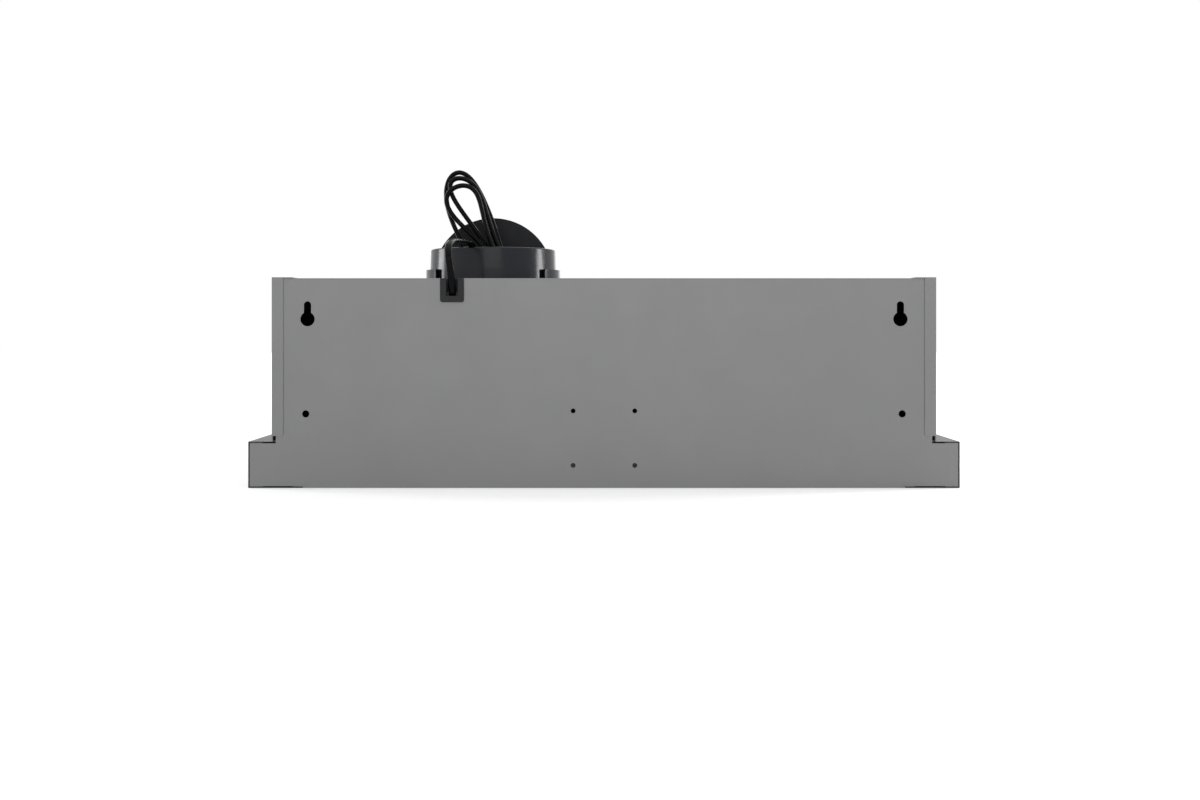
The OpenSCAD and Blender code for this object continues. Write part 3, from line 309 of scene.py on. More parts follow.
def dressNode(piece, node):
    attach(piece, bodyOf[node])
    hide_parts(node)
    return piece


def applied(piece):
    # the piece's mesh with its modifiers worked in
    graph = bpy.context.evaluated_depsgraph_get()
    done = bpy.data.meshes.new_from_object(piece.evaluated_get(graph))
    old = piece.data
    piece.modifiers.clear()
    piece.data = done
    bpy.data.meshes.remove(old)
    return piece


# A CAD mesh is merged before it is dressed: points this close, in metres, and faces this flat, in degrees
mergeSet = {"join": 2e-6, "flat": 0.6}


def mergedMesh(node, name):
    mesh = nodes[node].data.copy()
    mesh.name = name
    work = bmesh.new()
    work.from_mesh(mesh)
    bmesh.ops.remove_doubles(work, verts=work.verts, dist=mergeSet["join"])
    bmesh.ops.dissolve_limit(work, angle_limit=math.radians(mergeSet["flat"]), verts=work.verts,
                             edges=work.edges, delimit={"MATERIAL"})
    work.to_mesh(mesh)
    work.free()
    return mesh


def closedMesh(work, name):
    # a new mesh from the bmesh, with its faces turned outward
    bmesh.ops.recalc_face_normals(work, faces=work.faces)
    mesh = bpy.data.meshes.new(name)
    work.to_mesh(mesh)
    work.free()
    return mesh


def shadeSmooth(mesh, corner=None):
    # smooth all over, or up to a corner angle in degrees
    mesh.polygons.foreach_set("use_smooth", [True] * len(mesh.polygons))
    if corner:
        mesh.set_sharp_from_angle(angle=math.radians(corner))


def smoothedPiece(node, corner):
    mesh = mergedMesh(node, node + "Smooth")
    shadeSmooth(mesh, corner)
    setFinish(mesh, slotOf[node])
    return dressNode(addObject(node + "Smooth", mesh), node)


def blendValue(a, b, f):
    return a + (b - a) * f


# Plug: soft block that narrows to a ribbed grip and a sleeve round the cord, in millimetres. A station is its
# place along Y, width, thickness and the power of its rounded outline; land is how far a rib's flat reaches,
# and the flange is wider and thicker than the sleeve by its first two sizes
plugSet = {
    "centre": (85.0, 12.0, 107.3), "sides": 48, "corner": 42,
    "stations": [(-17.0, 33.6, 12.6, 5), (-16.6, 34.4, 13.4, 5), (-15.8, 35.0, 14.0, 5), (2.0, 35.0, 14.0, 5),
                 (5.0, 34.4, 14.0, 4.6), (7.0, 31.5, 13.9, 4.2), (8.5, 28.6, 13.6, 3.8)],
    "grip": {"from": 8.9, "to": 16.4, "ribs": 5, "wide": (27.4, 24.0), "thick": (13.2, 12.2), "deep": 1.1,
             "power": 3.4, "land": 0.28},
    "sleeve": {"from": 17.0, "to": 23.9, "ribs": 4, "size": (10.0, 8.4), "deep": 0.9,
               "flange": (1.6, 1.0, 2.2), "gap": 0.5, "land": (0.22, 0.1)},
}


def plugStations(s):
    rows = list(s["stations"])
    grip, sleeve = s["grip"], s["sleeve"]
    land, power = grip["land"], grip["power"]
    for k in range(2 * grip["ribs"] + 1):
        f = k / (2 * grip["ribs"])
        y = blendValue(grip["from"], grip["to"], f)
        cut = grip["deep"] * (k % 2)
        wide, thick = blendValue(*grip["wide"], f) - cut, blendValue(*grip["thick"], f) - cut
        rows += [(y - land, wide, thick, power), (y + land, wide, thick, power)]
    start = sleeve["size"][0]
    wider, thicker, power = sleeve["flange"]
    rows.append((sleeve["from"], start + wider, start + thicker, power))
    before, after = sleeve["land"]
    for k in range(2 * sleeve["ribs"] + 1):
        f = k / (2 * sleeve["ribs"])
        size = blendValue(*sleeve["size"], f) - sleeve["deep"] * (k % 2)
        y = blendValue(sleeve["from"] + sleeve["gap"], sleeve["to"], f)
        rows += [(y - before, size, size, 2), (y + after, size, size, 2)]
    return rows


def roundedPoint(angle, wide, thick, power):
    # point of an oval that is squarer the higher its power is
    u, v = math.cos(angle), math.sin(angle)
    return (wide / 2 * math.copysign(abs(u) ** (2 / power), u),
            thick / 2 * math.copysign(abs(v) ** (2 / power), v))


def tubeFaces(rings, n):
    # quads between rings of n points each
    return [(i * n + k, i * n + (k + 1) % n, (i + 1) * n + (k + 1) % n, (i + 1) * n + k)
            for i in range(rings - 1) for k in range(n)]


def buildPlug():
    s = plugSet
    cx, cy, cz = s["centre"]
    rows = plugStations(s)
    n = s["sides"]
    points = []
    for y, wide, thick, power in rows:
        for k in range(n):
            x, z = roundedPoint(2 * math.pi * (k + 0.5) / n, wide, thick, power)
            points.append(((cx + x) / 1000, (cy + y) / 1000, (cz + z) / 1000))
    faces = tubeFaces(len(rows), n) + [tuple(range(n)), tuple(range((len(rows) - 1) * n, len(rows) * n))]
    rough = bpy.data.meshes.new("plugDraft")
    rough.from_pydata(points, [], faces)
    work = bmesh.new()
    work.from_mesh(rough)
    bpy.data.meshes.remove(rough)
    mesh = closedMesh(work, "plugGrip")
    shadeSmooth(mesh, s["corner"])
    setFinish(mesh, slotOf["plug"])
    return dressNode(addObject("plugGrip", mesh), "plug")


# Mains lead: the route's points repeat the part's source, in millimetres until the last step. A point of the
# route is its offset from the clamp along X, Y and Z, with the turn of the cord's wide side in degrees
leadSet = {
    "width": 6.2, "thickness": 4.5, "round": 5.3, "groove": 0.6, "grooveReach": 0.35, "sides": 18, "steps": 8,
    "loopRings": 96, "length": 1.43,
    "outlet": (103.5, 10.0), "collarZ": 176.8, "clampX": 128.1, "wallY": 149.0, "topZ": 176.0,
    "mid": (-0.5, -4, 5.5), "lean": (0.56, 0.51, 0.41), "half": (30, 27.5, 22), "waist": (0.125, 0.2, 0.75),
    "top": (57, 66, 70), "skew": (15, 4, 17), "low": 22, "startY": 46, "pitch": 6.5, "waistUp": 28.2,
    "floorZ": 102.2,
    "route": [(0, -7.8, -28, 0), (0, -6.6, -18, 0), (0.2, -2.2, -6, 0), (1, 2, 8, 0), (2.8, 2.2, 20, 0),
              (3.4, -6, 28.6, 0), (2.2, -20, 32.6, 0), (0.6, -40, 34.2, 0), (-1.8, -60, 35.2, 0),
              (-5, -77, 35.6, 0), (-8.6, -87.6, 34.2, 10), (-10.7, -92.4, 26, 30), (-11, -92.8, 14, 55),
              (-8, -92, -4, 80), (-4, -91.5, -28, 90), (-4, -91.8, -50, 90), (-5.2, -92, -61, 90),
              (-9, -92.3, -69, 90), (-16, -92.7, -73.4, 90)],
    "plugLength": 34, "relief": 12, "inRelief": 5,
    "tail": {"leave": (-7, 0, 0.3), "aside": 7, "ahead": -1.5, "drop": 0.3, "enter": (0.6, 5, 1),
             "turns": [90, 95, 120, 170, 180]},
}


def smoothStep(f):
    return f * f * (3 - 2 * f)


def halfTurn(t):
    k = math.floor((t - 90) / 360)
    return k, (t - 90) % 360 < 180, min(1, max(0, (t - 90 - 360 * k) / 90))


def loopValue(values, t):
    # a lower half passes from one loop's size to the next in its first quarter
    k, low, f = halfTurn(t)
    i, j = min(2, k), min(2, max(0, k - 1))
    return blendValue(values[j], values[i], smoothStep(f)) if low else values[i]


def loopPlane(t):
    k, low, f = halfTurn(t)
    return blendValue(max(0, k - 1), k, smoothStep(f)) if low else k


def loopPoint(t):
    # turn t in degrees: 180 is the bottom of the first loop, 360 its top
    s = leadSet
    c, side = math.cos(math.radians(t)), math.sin(math.radians(t))
    tall = loopValue(s["top"], t)
    waistZ = s["collarZ"] + s["waistUp"]
    if c > 0:
        wide = loopValue(s["half"], t) * blendValue(loopValue(s["waist"], t), 1, c * c)
        x = loopValue(s["lean"], t) * tall * c + side * wide
        z = tall * c - loopValue(s["skew"], t) * side * c
    else:
        drop = waistZ - s["floorZ"]
        slope = loopValue(s["lean"], t) * tall / (tall + (-1 if side > 0 else 1) * loopValue(s["skew"], t))
        neck = loopValue(s["half"], t) * loopValue(s["waist"], t)
        x = slope * drop * c * (1 + c) ** 3 + side * blendValue(neck, s["low"], c * c)
        z = drop * c
    return Vector((s["outlet"][0] + loopValue(s["mid"], t) + x,
                   s["outlet"][1] + s["startY"] - s["pitch"] * loopPlane(t), waistZ + z))


def throughPoints(points, steps):
    # smooth curve through the points
    last = len(points) - 1
    made = []
    for i in range(last):
        a, b, c, d = (points[max(0, i - 1)], points[i], points[i + 1], points[min(last, i + 2)])
        for k in range(steps):
            f = k / steps
            made.append((2 * b + (c - a) * f + (2 * a - 5 * b + 4 * c - d) * f * f
                         + (3 * b - a - 3 * c + d) * f ** 3) / 2)
    made.append(points[last])
    return made


def tailPoints(end):
    # from the last loop into the plug's sleeve
    s = leadSet
    px, py, pz = plugSet["centre"]
    tail = s["tail"]
    last = Vector((px, py + s["plugLength"] / 2 + s["relief"] - s["inRelief"], pz))
    middle = Vector((last.x + tail["aside"], end.y + tail["ahead"], blendValue(end.z, pz, tail["drop"])))
    return [end, end + Vector(tail["leave"]), middle, last + Vector(tail["enter"]), last]


def leadPath():
    # points in metres from the clamp to the plug, with the turn of the wide side at each
    s = leadSet
    loops = [loopPoint(180 + 360 * k / s["loopRings"]) for k in range(3 * s["loopRings"] + 1)]
    lead = [Vector((s["clampX"] + x, s["wallY"] + y, s["topZ"] + z)) for x, y, z, turn in s["route"]]
    lead.append(loops[0])
    leadTurns = [p[3] for p in s["route"]] + [90]
    tail = tailPoints(loops[-1])
    points = throughPoints(lead, s["steps"])[:-1] + loops + throughPoints(tail, s["steps"])[1:]
    turns = (throughPoints(leadTurns, s["steps"])[:-1] + [90] * len(loops)
             + throughPoints(s["tail"]["turns"], s["steps"])[1:])
    return [p / 1000 for p in points], turns


def leadSection():
    # flat twin cord: an oval with a shallow groove along the middle of each wide side
    s = leadSet
    made = []
    for j in range(s["sides"]):
        a = 2 * math.pi * (j + 0.5) / s["sides"]
        dip = s["groove"] * max(0.0, 1 - abs(math.cos(a)) / s["grooveReach"])
        made.append((s["width"] / 2 * math.cos(a), (s["thickness"] / 2 - dip) * math.sin(a)))
    return made


def buildLead(plugPieces):
    path, turns = leadPath()
    section = leadSection()
    n = len(section)
    last = len(path) - 1
    points = []
    for i, p in enumerate(path):
        run = (path[min(last, i + 1)] - path[max(0, i - 1)]).normalized()
        a = math.radians(turns[i])
        flat = Vector((math.cos(a), math.sin(a), 0))
        wide = (flat - run * flat.dot(run)).normalized()
        thin = run.cross(wide)
        points += [p + wide * (u / 1000) + thin * (v / 1000) for u, v in section]
    ends = [tuple(reversed(range(n))), tuple(range(last * n, (last + 1) * n))]
    mesh = bpy.data.meshes.new("mainsLead")
    mesh.from_pydata([tuple(p) for p in points], [], tubeFaces(len(path), n) + ends)
    shadeSmooth(mesh)
    setFinish(mesh, "cord_rubber")
    lead = addObject("mainsLead", mesh)
    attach(lead, "hood")
    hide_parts("cord_lead", "cord_hank")
    print("mains lead is", round(sum((b - a).length for a, b in zip(path, path[1:])), 3), "m long")


buildLead([buildPlug(), smoothedPiece("plug_pins", 40)])


# The wings' top flange stops at the back panel's inner side: a box, in millimetres, is taken out of each copy
trimSet = {"nodes": ("left_wing", "right_wing"), "low": (267.0, 147.38, 37.5), "high": (276.8, 149.0, 40.0)}


def trimmed(piece):
    side = 1 if piece.data.vertices[0].co.x > 0 else -1
    work = bmesh.new()
    bmesh.ops.create_cube(work, size=1.0)
    low, high = trimSet["low"], trimSet["high"]
    for corner in work.verts:
        corner.co = [blendValue(a, b, c + 0.5) / 1000 for a, b, c in zip(low, high, corner.co)]
        corner.co.x *= side
    mesh = closedMesh(work, "trimBox")
    box = addObject("trimBox", mesh)
    trim = piece.modifiers.new("trim", "BOOLEAN")
    trim.operation = "DIFFERENCE"
    trim.solver = "EXACT"
    trim.object = box
    applied(piece)
    bpy.data.objects.remove(box)
    bpy.data.meshes.remove(mesh)


# Dressed copies: a CAD node's own shape, merged, with its edges eased as a press or a mould leaves them.
# The eases are in metres; an edge counts from the corner angle, in degrees
easeSet = {
    "corner": 38, "segments": 2, "weight": 100,
    "nodes": {
        "back_panel": 0.00012, "top_panel": 0.00015, "front_panel": 0.0002, "left_side_panel": 0.0003,
        "right_side_panel": 0.0003, "left_wing": 0.00015, "right_wing": 0.00015, "base_tray": 0.0002,
        "visor_frame": 0.0003, "front_bar": 0.00025, "bar_end_caps": 0.0004, "outlet_collar": 0.0005,
        "rear_flap": 0.0004, "front_flap": 0.0004, "cord_clamp": 0.0003, "left_filter_frame": 0.0003,
        "right_filter_frame": 0.0003, "speed_slider": 0.0003, "light_slider": 0.0003, "lamp_bezels": 0.0003,
        "terminal_box": 0.0004, "terminal_box_cover": 0.0004, "capacitor": 0.0006, "led_driver": 0.0006,
    },
}


def easedPiece(node, ease):
    piece = addObject(node + "Eased", mergedMesh(node, node + "Eased"))
    if node in trimSet["nodes"]:
        trimmed(piece)
    bevel = piece.modifiers.new("ease", "BEVEL")
    bevel.width = ease
    bevel.segments = easeSet["segments"]
    bevel.limit_method = "ANGLE"
    bevel.angle_limit = math.radians(easeSet["corner"])
    bevel.use_clamp_overlap = True
    shadeSmooth(piece.data)
    level = piece.modifiers.new("level", "WEIGHTED_NORMAL")
    level.mode = "FACE_AREA"
    level.weight = easeSet["weight"]
    level.keep_sharp = True
    applied(piece)
    setFinish(piece.data, slotOf[node])
    return dressNode(piece, node)


dressed = {node: easedPiece(node, ease) for node, ease in easeSet["nodes"].items()}
print("dressed copies:", len(dressed))


# Painted shade on the sheet metal's cut edges near the wall: these narrow faces get a near-black finish
# that stands for the shadow in the gaps between the sheets. They are faces that look along Y by more than a
# share given for each piece. In metres: greatest width, least length around the face, and the Y where the
# wall side starts
cutSet = {"tilt": {"left_wing": 0.3, "right_wing": 0.3, "left_side_panel": 0.5, "right_side_panel": 0.5},
          "narrow": 0.0012, "around": 0.008, "from": 0.1465}


def shadeCutEdges(piece, tilt):
    s = cutSet
    mesh = piece.data
    # a second finish of painted shade, for the shadow gaps along the sheets' edges
    mesh.materials.append(finishes["cut_edge_shade"])
    count = 0
    for face in mesh.polygons:
        corners = [mesh.vertices[i].co for i in face.vertices]
        around = sum((a - b).length for a, b in zip(corners, corners[1:] + corners[:1]))
        wide = 2 * face.area / around
        nearWall = face.center.y > s["from"] and abs(face.normal.y) > tilt
        if nearWall and wide < s["narrow"] and around > s["around"]:
            face.material_index = 1
            count += 1
    print("cut edges on", piece.name, count)


for node, tilt in cutSet["tilt"].items():
    shadeCutEdges(dressed[node], tilt)


# Round pieces: the node's own shape, merged and shaded smooth up to a corner angle in degrees
roundSet = {
    "motor": 35, "motor_bushes": 40, "scroll_base": 30, "scroll_cover": 30, "impeller": 30, "motor_shaft": 40,
    "impeller_nut": 25, "led_modules": 35, "damper_rod": 40, "motor_screws": 35,
    "left_filter_pull": 40, "right_filter_pull": 40, "internal_cables": 50, "capacitor_clip": 35,
    "terminal_block": 35, "switch_housings": 35, "left_rail": 35, "right_rail": 35, "left_runner": 35,
    "right_runner": 35,
}

for node, corner in roundSet.items():
    smoothedPiece(node, corner)
print("smoothed copies:", len(roundSet))


# Lamp lenses: turned discs with moulded rings on the face that shows
lensSet = {"rim": 0.0025, "pitch": 0.0017, "ripple": 0.00032, "segments": 96, "steps": 6, "ledge": 0.0003,
           "chamfer": 0.0002, "corner": 32}


def turnedMesh(name, outline, centres, segments):
    # outline runs from the axis round to the axis again, as (radius, height)
    work = bmesh.new()
    turns = [2 * math.pi * k / segments for k in range(segments)]
    for cx, cy in centres:
        rows = []
        for r, z in outline:
            ring = [(cx + r * math.cos(a), cy + r * math.sin(a), z) for a in turns] if r else [(cx, cy, z)]
            rows.append([work.verts.new(point) for point in ring])
        for a, b in zip(rows, rows[1:]):
            for k in range(segments):
                m = (k + 1) % segments
                corners = [a[k % len(a)], a[m % len(a)], b[m % len(b)], b[k % len(b)]]
                corners = [c for i, c in enumerate(corners) if c not in corners[:i]]
                work.faces.new(corners)
    return closedMesh(work, name)


def buildLenses():
    s = lensSet
    (x0, y0, z0), (x1, y1, z1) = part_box("lamp_lenses")
    radius = (y1 - y0) / 2
    centres = [(x0 + radius, (y0 + y1) / 2), (x1 - radius, (y0 + y1) / 2)]
    inner = radius - s["rim"]
    count = round(inner / s["pitch"])
    outline = [(0, z0)]
    for k in range(1, count * s["steps"] + 1):
        r = inner * k / (count * s["steps"])
        outline.append((r, z0 + s["ripple"] * math.sin(math.pi * (k / s["steps"] % 1)) ** 2))
    outline += [(inner + s["ledge"], z0), (radius - s["chamfer"], z0), (radius, z0 + s["chamfer"]),
                (radius, z1), (0, z1)]
    mesh = turnedMesh("lampLensRings", outline, centres, s["segments"])
    shadeSmooth(mesh, s["corner"])
    setFinish(mesh, slotOf["lamp_lenses"])
    dressNode(addObject("lampLensRings", mesh), "lamp_lenses")


buildLenses()
print("lenses turned")


# Geometry Nodes: a tree runs on a mesh of points and leaves a plain mesh
def newTree(name, inputs):
    tree = bpy.data.node_groups.new(name, "GeometryNodeTree")
    tree.interface.new_socket("Geometry", in_out="INPUT", socket_type="NodeSocketGeometry")
    for label, (kind, value) in inputs.items():
        made = tree.interface.new_socket(label, in_out="INPUT", socket_type="NodeSocket" + kind)
        if value is not None:
            made.default_value = value
    tree.interface.new_socket("Geometry", in_out="OUTPUT", socket_type="NodeSocketGeometry")
    return tree, tree.nodes.new("NodeGroupInput"), tree.nodes.new("NodeGroupOutput")


def feed(tree, sockets, values):
    # each value is a number or another node's output
    for socket, value in zip(sockets, values):
        if isinstance(value, (int, float)):
            socket.default_value = value
        else:
            link(tree, value, socket)


def compute(tree, operation, *values):
    made = addNode(tree, "ShaderNodeMath", operation=operation)
    feed(tree, made.inputs, values)
    return made.outputs[0]


def triple(tree, x=0.0, y=0.0, z=0.0):
    made = addNode(tree, "ShaderNodeCombineXYZ")
    feed(tree, made.inputs, (x, y, z))
    return made.outputs[0]


def joined(tree, *parts):
    made = addNode(tree, "GeometryNodeJoinGeometry")
    for part in parts:
        link(tree, part, made.inputs[0])
    return made.outputs[0]


def grown(tree, name, points, values, node, corner=None):
    piece = addObject(name, points)
    run = piece.modifiers.new("grow", "NODES")
    run.node_group = tree
    for item in tree.interface.items_tree:
        if item.item_type == "SOCKET" and item.in_out == "INPUT" and item.name in values:
            run[item.identifier] = values[item.name]
    applied(piece)
    if corner:
        shadeSmooth(piece.data, corner)
    print(name, "has", len(piece.data.polygons), "faces")
    return dressNode(piece, node)


def pointMesh(name, places, attributes):
    # attributes are named, each with its kind, the name of its value and its numbers in a row
    points = bpy.data.meshes.new(name)
    points.from_pydata(places, [], [])
    for label, (kind, field, numbers) in attributes.items():
        points.attributes.new(label, kind, "POINT").data.foreach_set(field, numbers)
    return points


# Screws: domed head with a cross recess, shank as long as each point says. Rise and draw are the dome's steps
# as shares of the head's height and of the step below; the cross's sizes are shares of the radius and the
# height. A row is a screw's place in metres, where its head faces and how deep its shank goes
screwSet = {
    "sides": 28, "shankSides": 14, "rise": (0.45, 0.33, 0.22), "draw": (0.94, 0.86, 0.72), "crossReach": 0.62,
    "crossWidth": 0.17, "crossDepth": 0.55, "join": 1e-6, "corner": 32, "seed": 7,
    "groups": {
        "housing_screws": {
            "head": 0.003, "height": 0.0018, "shank": 0.0015,
            "rows": [((x, y, z), (0, 0, 1), deep) for side, ys, z, deep in
                     ((0.2715, (-0.09, -0.01, 0.07), 0.1776, 0.005),
                      (0.274, (-0.07, 0.02, 0.11), 0.0398, 0.003),
                      (0.258, (-0.10, 0.01, 0.12), 0.0016, 0.0015)) for x in (-side, side) for y in ys]},
        "collar_screws": {
            "head": 0.0026, "height": 0.0014, "shank": 0.0015,
            "rows": [((x, y, 0.1788), (0, 0, 1), 0.011) for x, y in
                     ((0.14875, 0.05525), (0.05825, 0.05525), (0.05825, -0.03525), (0.14875, -0.03525))]},
        "blower_screws": {
            "head": 0.003, "height": 0.0018, "shank": 0.0015,
            "rows": [((x, y, 0.1320), (0, 0, -1), 0.010) for x, y in
                     ((-0.03474, 0.10974), (-0.12578, 0.09908), (-0.17963, 0.008), (-0.1489, -0.0789),
                      (0.14528, -0.03979), (0.16458, 0.03223), (0.12573, 0.07108))]
            + [((x, y, 0.1768), (0, 0, 1), 0.009) for x, y in
               ((-0.0808, 0.11461), (-0.17474, -0.03303), (-0.11493, -0.10551))]},
        "visor_screws": {
            "head": 0.003, "height": 0.0018, "shank": 0.0015,
            "rows": [((x, -0.1261, 0.025), (0, 1, 0), 0.0027) for x in (-0.22, -0.075, 0.075, 0.22)]},
    },
}


def screwTree():
    s = screwSet
    tree, given, result = newTree("screws", {
        "Head Radius": ("Float", 0.003), "Head Height": ("Float", 0.0018), "Shank Radius": ("Float", 0.0015),
        "Seed": ("Int", s["seed"]), "Finish": ("Material", None)})
    radius, height = given.outputs["Head Radius"], given.outputs["Head Height"]

    def disc():
        made = addNode(tree, "GeometryNodeMeshCircle", {"Vertices": s["sides"]}, fill_type="NGON")
        link(tree, radius, made.inputs["Radius"])
        return made.outputs["Mesh"]

    under = addNode(tree, "GeometryNodeFlipFaces")
    link(tree, disc(), under.inputs["Mesh"])
    body = disc()
    for rise, draw in zip(s["rise"], s["draw"]):
        pull = addNode(tree, "GeometryNodeExtrudeMesh", {"Offset": (0, 0, 1), "Individual": False},
                       mode="FACES")
        shrink = addNode(tree, "GeometryNodeScaleElements", {"Scale": draw}, domain="FACE")
        link(tree, body, pull.inputs["Mesh"])
        link(tree, compute(tree, "MULTIPLY", height, rise), pull.inputs["Offset Scale"])
        link(tree, pull.outputs["Mesh"], shrink.inputs["Geometry"])
        link(tree, pull.outputs["Top"], shrink.inputs["Selection"])
        body = shrink.outputs["Geometry"]
    merge = addNode(tree, "GeometryNodeMergeByDistance", {"Distance": s["join"]})
    link(tree, joined(tree, body, under.outputs["Mesh"]), merge.inputs["Geometry"])

    # the bars of the cross have their middle at the head's top, so they are twice as tall as it is deep
    bars = []
    deep = compute(tree, "MULTIPLY", height, s["crossDepth"])
    long = compute(tree, "MULTIPLY", radius, 2 * s["crossReach"])
    thin = compute(tree, "MULTIPLY", radius, 2 * s["crossWidth"])
    for x, y in ((long, thin), (thin, long)):
        bar = addNode(tree, "GeometryNodeMeshCube")
        move = addNode(tree, "GeometryNodeTransform")
        link(tree, triple(tree, x, y, compute(tree, "MULTIPLY", deep, 2.0)), bar.inputs["Size"])
        link(tree, bar.outputs["Mesh"], move.inputs["Geometry"])
        link(tree, triple(tree, z=height), move.inputs["Translation"])
        bars.append(move.outputs[0])
    cut = addNode(tree, "GeometryNodeMeshBoolean", operation="DIFFERENCE", solver="EXACT")
    cut.inputs["Self Intersection"].default_value = True
    link(tree, merge.outputs[0], cut.inputs["Mesh 1"])
    for bar in bars:
        link(tree, bar, cut.inputs["Mesh 2"])

    shank = addNode(tree, "GeometryNodeMeshCylinder", {"Vertices": s["shankSides"], "Depth": 1.0})
    sink = addNode(tree, "GeometryNodeTransform", {"Translation": (0, 0, -0.5)})
    link(tree, given.outputs["Shank Radius"], shank.inputs["Radius"])
    link(tree, shank.outputs["Mesh"], sink.inputs["Geometry"])

    facing = addNode(tree, "GeometryNodeInputNamedAttribute", {"Name": "facing"}, data_type="FLOAT_VECTOR")
    depth = addNode(tree, "GeometryNodeInputNamedAttribute", {"Name": "depth"}, data_type="FLOAT")
    turn = addNode(tree, "FunctionNodeAlignRotationToVector", axis="Z")
    link(tree, facing.outputs["Attribute"], turn.inputs["Vector"])
    spin = addNode(tree, "FunctionNodeRandomValue", data_type="FLOAT")
    spin.inputs[2].default_value, spin.inputs[3].default_value = 0.0, math.pi / 2
    link(tree, given.outputs["Seed"], spin.inputs["Seed"])
    placed = []
    stretch = triple(tree, 1.0, 1.0, depth.outputs["Attribute"])
    for shape, size in ((cut.outputs["Mesh"], None), (sink.outputs[0], stretch)):
        put = addNode(tree, "GeometryNodeInstanceOnPoints")
        link(tree, given.outputs["Geometry"], put.inputs["Points"])
        link(tree, shape, put.inputs["Instance"])
        link(tree, turn.outputs[0], put.inputs["Rotation"])
        if size:
            link(tree, size, put.inputs["Scale"])
        placed.append(put.outputs[0])
    twist = addNode(tree, "GeometryNodeRotateInstances")
    link(tree, placed[0], twist.inputs["Instances"])
    link(tree, triple(tree, z=spin.outputs[1]), twist.inputs["Rotation"])
    real = addNode(tree, "GeometryNodeRealizeInstances")
    finish = addNode(tree, "GeometryNodeSetMaterial")
    link(tree, joined(tree, twist.outputs[0], placed[1]), real.inputs[0])
    link(tree, real.outputs[0], finish.inputs["Geometry"])
    link(tree, given.outputs["Finish"], finish.inputs["Material"])
    link(tree, finish.outputs[0], result.inputs[0])
    return tree


screws = screwTree()
for node, s in screwSet["groups"].items():
    points = pointMesh(node + "Places", [row[0] for row in s["rows"]], {
        "facing": ("FLOAT_VECTOR", "vector", [v for row in s["rows"] for v in row[1]]),
        "depth": ("FLOAT", "value", [row[2] for row in s["rows"]])})
    grown(screws, node + "Cross", points, {
        "Head Radius": s["head"], "Head Height": s["height"], "Shank Radius": s["shank"],
        "Seed": screwSet["seed"], "Finish": finishes[slotOf[node]]}, node, screwSet["corner"])


# Expanded metal of the filters: zigzag strands that meet at their corners, in a few layers. Strand is a width
# and a thickness in metres, meet a corner's swing as a share of the pitch, shift how far each layer moves.
# A grid line whose ends differ by more than level along Y isn't a strand
meshSet = {
    "strand": (0.0010, 0.0006), "meet": 0.45, "shift": (0.0023, 0.0017), "edge": 0.0006, "level": 1e-5,
    "panels": {
        "left_filter_mesh": {"cell": (0.0048, 0.0042), "layers": 3},
        "right_filter_mesh": {"cell": (0.0048, 0.0042), "layers": 3},
        "visor_filter": {"cell": (0.0054, 0.0048), "layers": 2},
    },
}


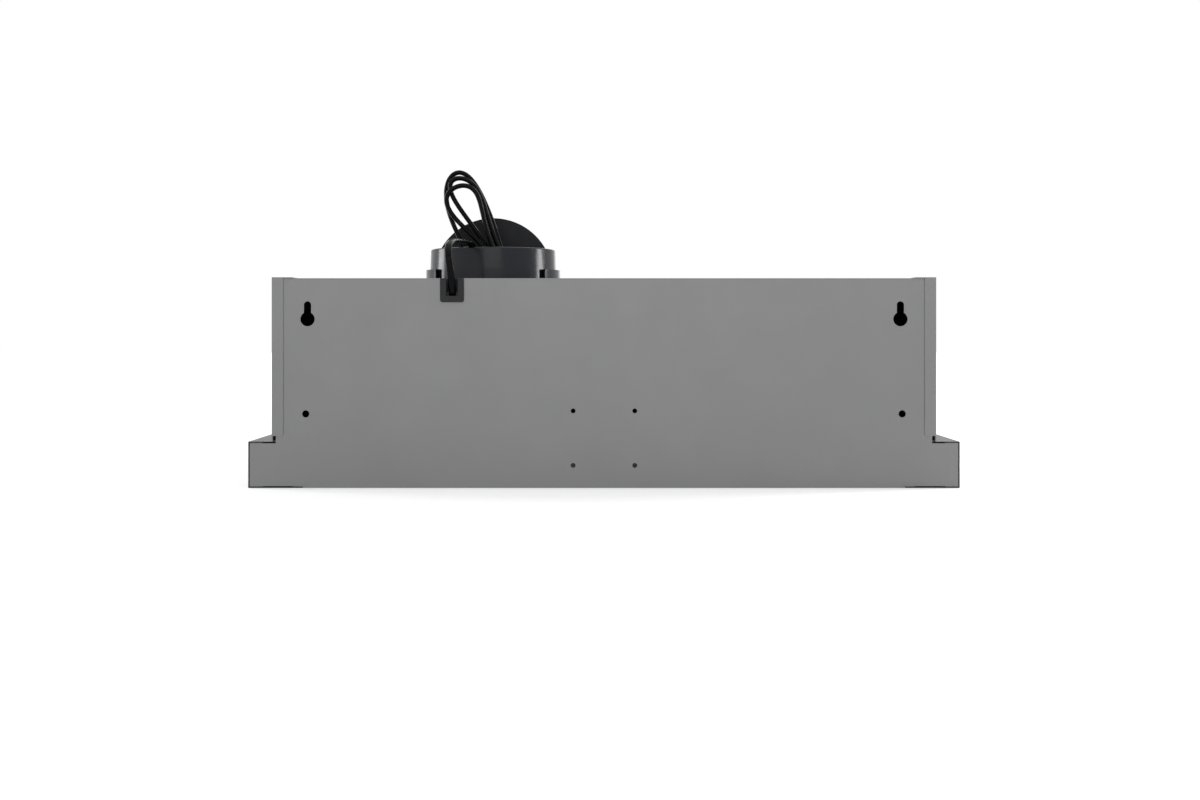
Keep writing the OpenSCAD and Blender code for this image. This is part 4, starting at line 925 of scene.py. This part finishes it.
def strandTree():
    s = meshSet
    tree, given, result = newTree("expandedMetal", {
        "Width": ("Float", 0.2), "Length": ("Float", 0.2), "Across": ("Int", 20), "Along": ("Int", 20),
        "Layers": ("Int", 3), "Layer Step": ("Float", 0.001), "Strand Width": ("Float", s["strand"][0]),
        "Strand Thickness": ("Float", s["strand"][1]), "Finish": ("Material", None)})
    length, along = given.outputs["Length"], given.outputs["Along"]
    grid = addNode(tree, "GeometryNodeMeshGrid")
    for socket, label in (("Size X", "Width"), ("Size Y", "Length"), ("Vertices X", "Across"),
                          ("Vertices Y", "Along")):
        link(tree, given.outputs[label], grid.inputs[socket])
    ends = addNode(tree, "GeometryNodeInputMeshEdgeVertices")
    run = addNode(tree, "ShaderNodeVectorMath", operation="SUBTRACT")
    part = addNode(tree, "ShaderNodeSeparateXYZ")
    link(tree, ends.outputs["Position 1"], run.inputs[0])
    link(tree, ends.outputs["Position 2"], run.inputs[1])
    link(tree, run.outputs[0], part.inputs[0])
    rise = compute(tree, "ABSOLUTE", part.outputs["Y"])
    drop = addNode(tree, "GeometryNodeDeleteGeometry", domain="EDGE", mode="EDGE_FACE")
    link(tree, grid.outputs["Mesh"], drop.inputs["Geometry"])
    link(tree, compute(tree, "GREATER_THAN", rise, s["level"]), drop.inputs["Selection"])

    order = addNode(tree, "GeometryNodeInputIndex").outputs[0]
    column = compute(tree, "FLOOR", compute(tree, "DIVIDE", compute(tree, "ADD", order, 0.5), along))
    row = compute(tree, "MODULO", order, along)
    parity = compute(tree, "MODULO", compute(tree, "ADD", column, row), 2.0)
    pitch = compute(tree, "DIVIDE", length, compute(tree, "SUBTRACT", along, 1.0))
    side = compute(tree, "SUBTRACT", compute(tree, "MULTIPLY", parity, 2.0), 1.0)
    sway = compute(tree, "MULTIPLY", side, compute(tree, "MULTIPLY", pitch, s["meet"]))
    weave = addNode(tree, "GeometryNodeSetPosition")
    link(tree, drop.outputs[0], weave.inputs["Geometry"])
    link(tree, triple(tree, y=sway), weave.inputs["Offset"])
    curve = addNode(tree, "GeometryNodeMeshToCurve")
    upright = addNode(tree, "GeometryNodeSetCurveNormal", mode="Z_UP")
    shape = addNode(tree, "GeometryNodeCurvePrimitiveQuadrilateral")
    sweep = addNode(tree, "GeometryNodeCurveToMesh", {"Fill Caps": True})
    link(tree, weave.outputs[0], curve.inputs[0])
    link(tree, curve.outputs[0], upright.inputs[0])
    link(tree, upright.outputs[0], sweep.inputs["Curve"])
    link(tree, given.outputs["Strand Width"], shape.inputs["Width"])
    link(tree, given.outputs["Strand Thickness"], shape.inputs["Height"])
    link(tree, shape.outputs[0], sweep.inputs["Profile Curve"])

    stack = addNode(tree, "GeometryNodeMeshLine", mode="OFFSET")
    link(tree, given.outputs["Layers"], stack.inputs["Count"])
    link(tree, triple(tree, *s["shift"], given.outputs["Layer Step"]), stack.inputs["Offset"])
    put = addNode(tree, "GeometryNodeInstanceOnPoints")
    real = addNode(tree, "GeometryNodeRealizeInstances")
    move = addNode(tree, "GeometryNodeSetPosition")
    origin = addNode(tree, "GeometryNodeInputNamedAttribute", {"Name": "centre"}, data_type="FLOAT_VECTOR")
    first = addNode(tree, "GeometryNodeSampleIndex", data_type="FLOAT_VECTOR")
    finish = addNode(tree, "GeometryNodeSetMaterial")
    link(tree, stack.outputs[0], put.inputs["Points"])
    link(tree, sweep.outputs[0], put.inputs["Instance"])
    link(tree, put.outputs[0], real.inputs[0])
    link(tree, real.outputs[0], move.inputs["Geometry"])
    link(tree, given.outputs["Geometry"], first.inputs["Geometry"])
    link(tree, origin.outputs["Attribute"], first.inputs["Value"])
    link(tree, first.outputs[0], move.inputs["Offset"])
    link(tree, move.outputs[0], finish.inputs["Geometry"])
    link(tree, given.outputs["Finish"], finish.inputs["Material"])
    link(tree, finish.outputs[0], result.inputs[0])
    return tree


strands = strandTree()
for node, s in meshSet["panels"].items():
    (x0, y0, z0), (x1, y1, z1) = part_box(node)
    shiftX, shiftY = [v * (s["layers"] - 1) for v in meshSet["shift"]]
    thick = meshSet["strand"][1]
    width = x1 - x0 - 2 * meshSet["edge"] - shiftX
    length = y1 - y0 - 2 * meshSet["edge"] - shiftY
    across, along = 2 * round(width / s["cell"][0] / 2) + 1, round(length / s["cell"][1])
    swing = length / (along - 1) * meshSet["meet"]
    length -= 2 * swing
    points = pointMesh(node + "Place", [(0, 0, 0)], {"centre": (
        "FLOAT_VECTOR", "vector", [(x0 + x1 - shiftX) / 2, (y0 + y1 - shiftY) / 2, z0 + thick])})
    grown(strands, node + "Strands", points, {
        "Width": width, "Length": length, "Across": across, "Along": along, "Layers": s["layers"],
        "Layer Step": (z1 - z0 - 2 * thick) / (s["layers"] - 1), "Finish": finishes[slotOf[node]]}, node)
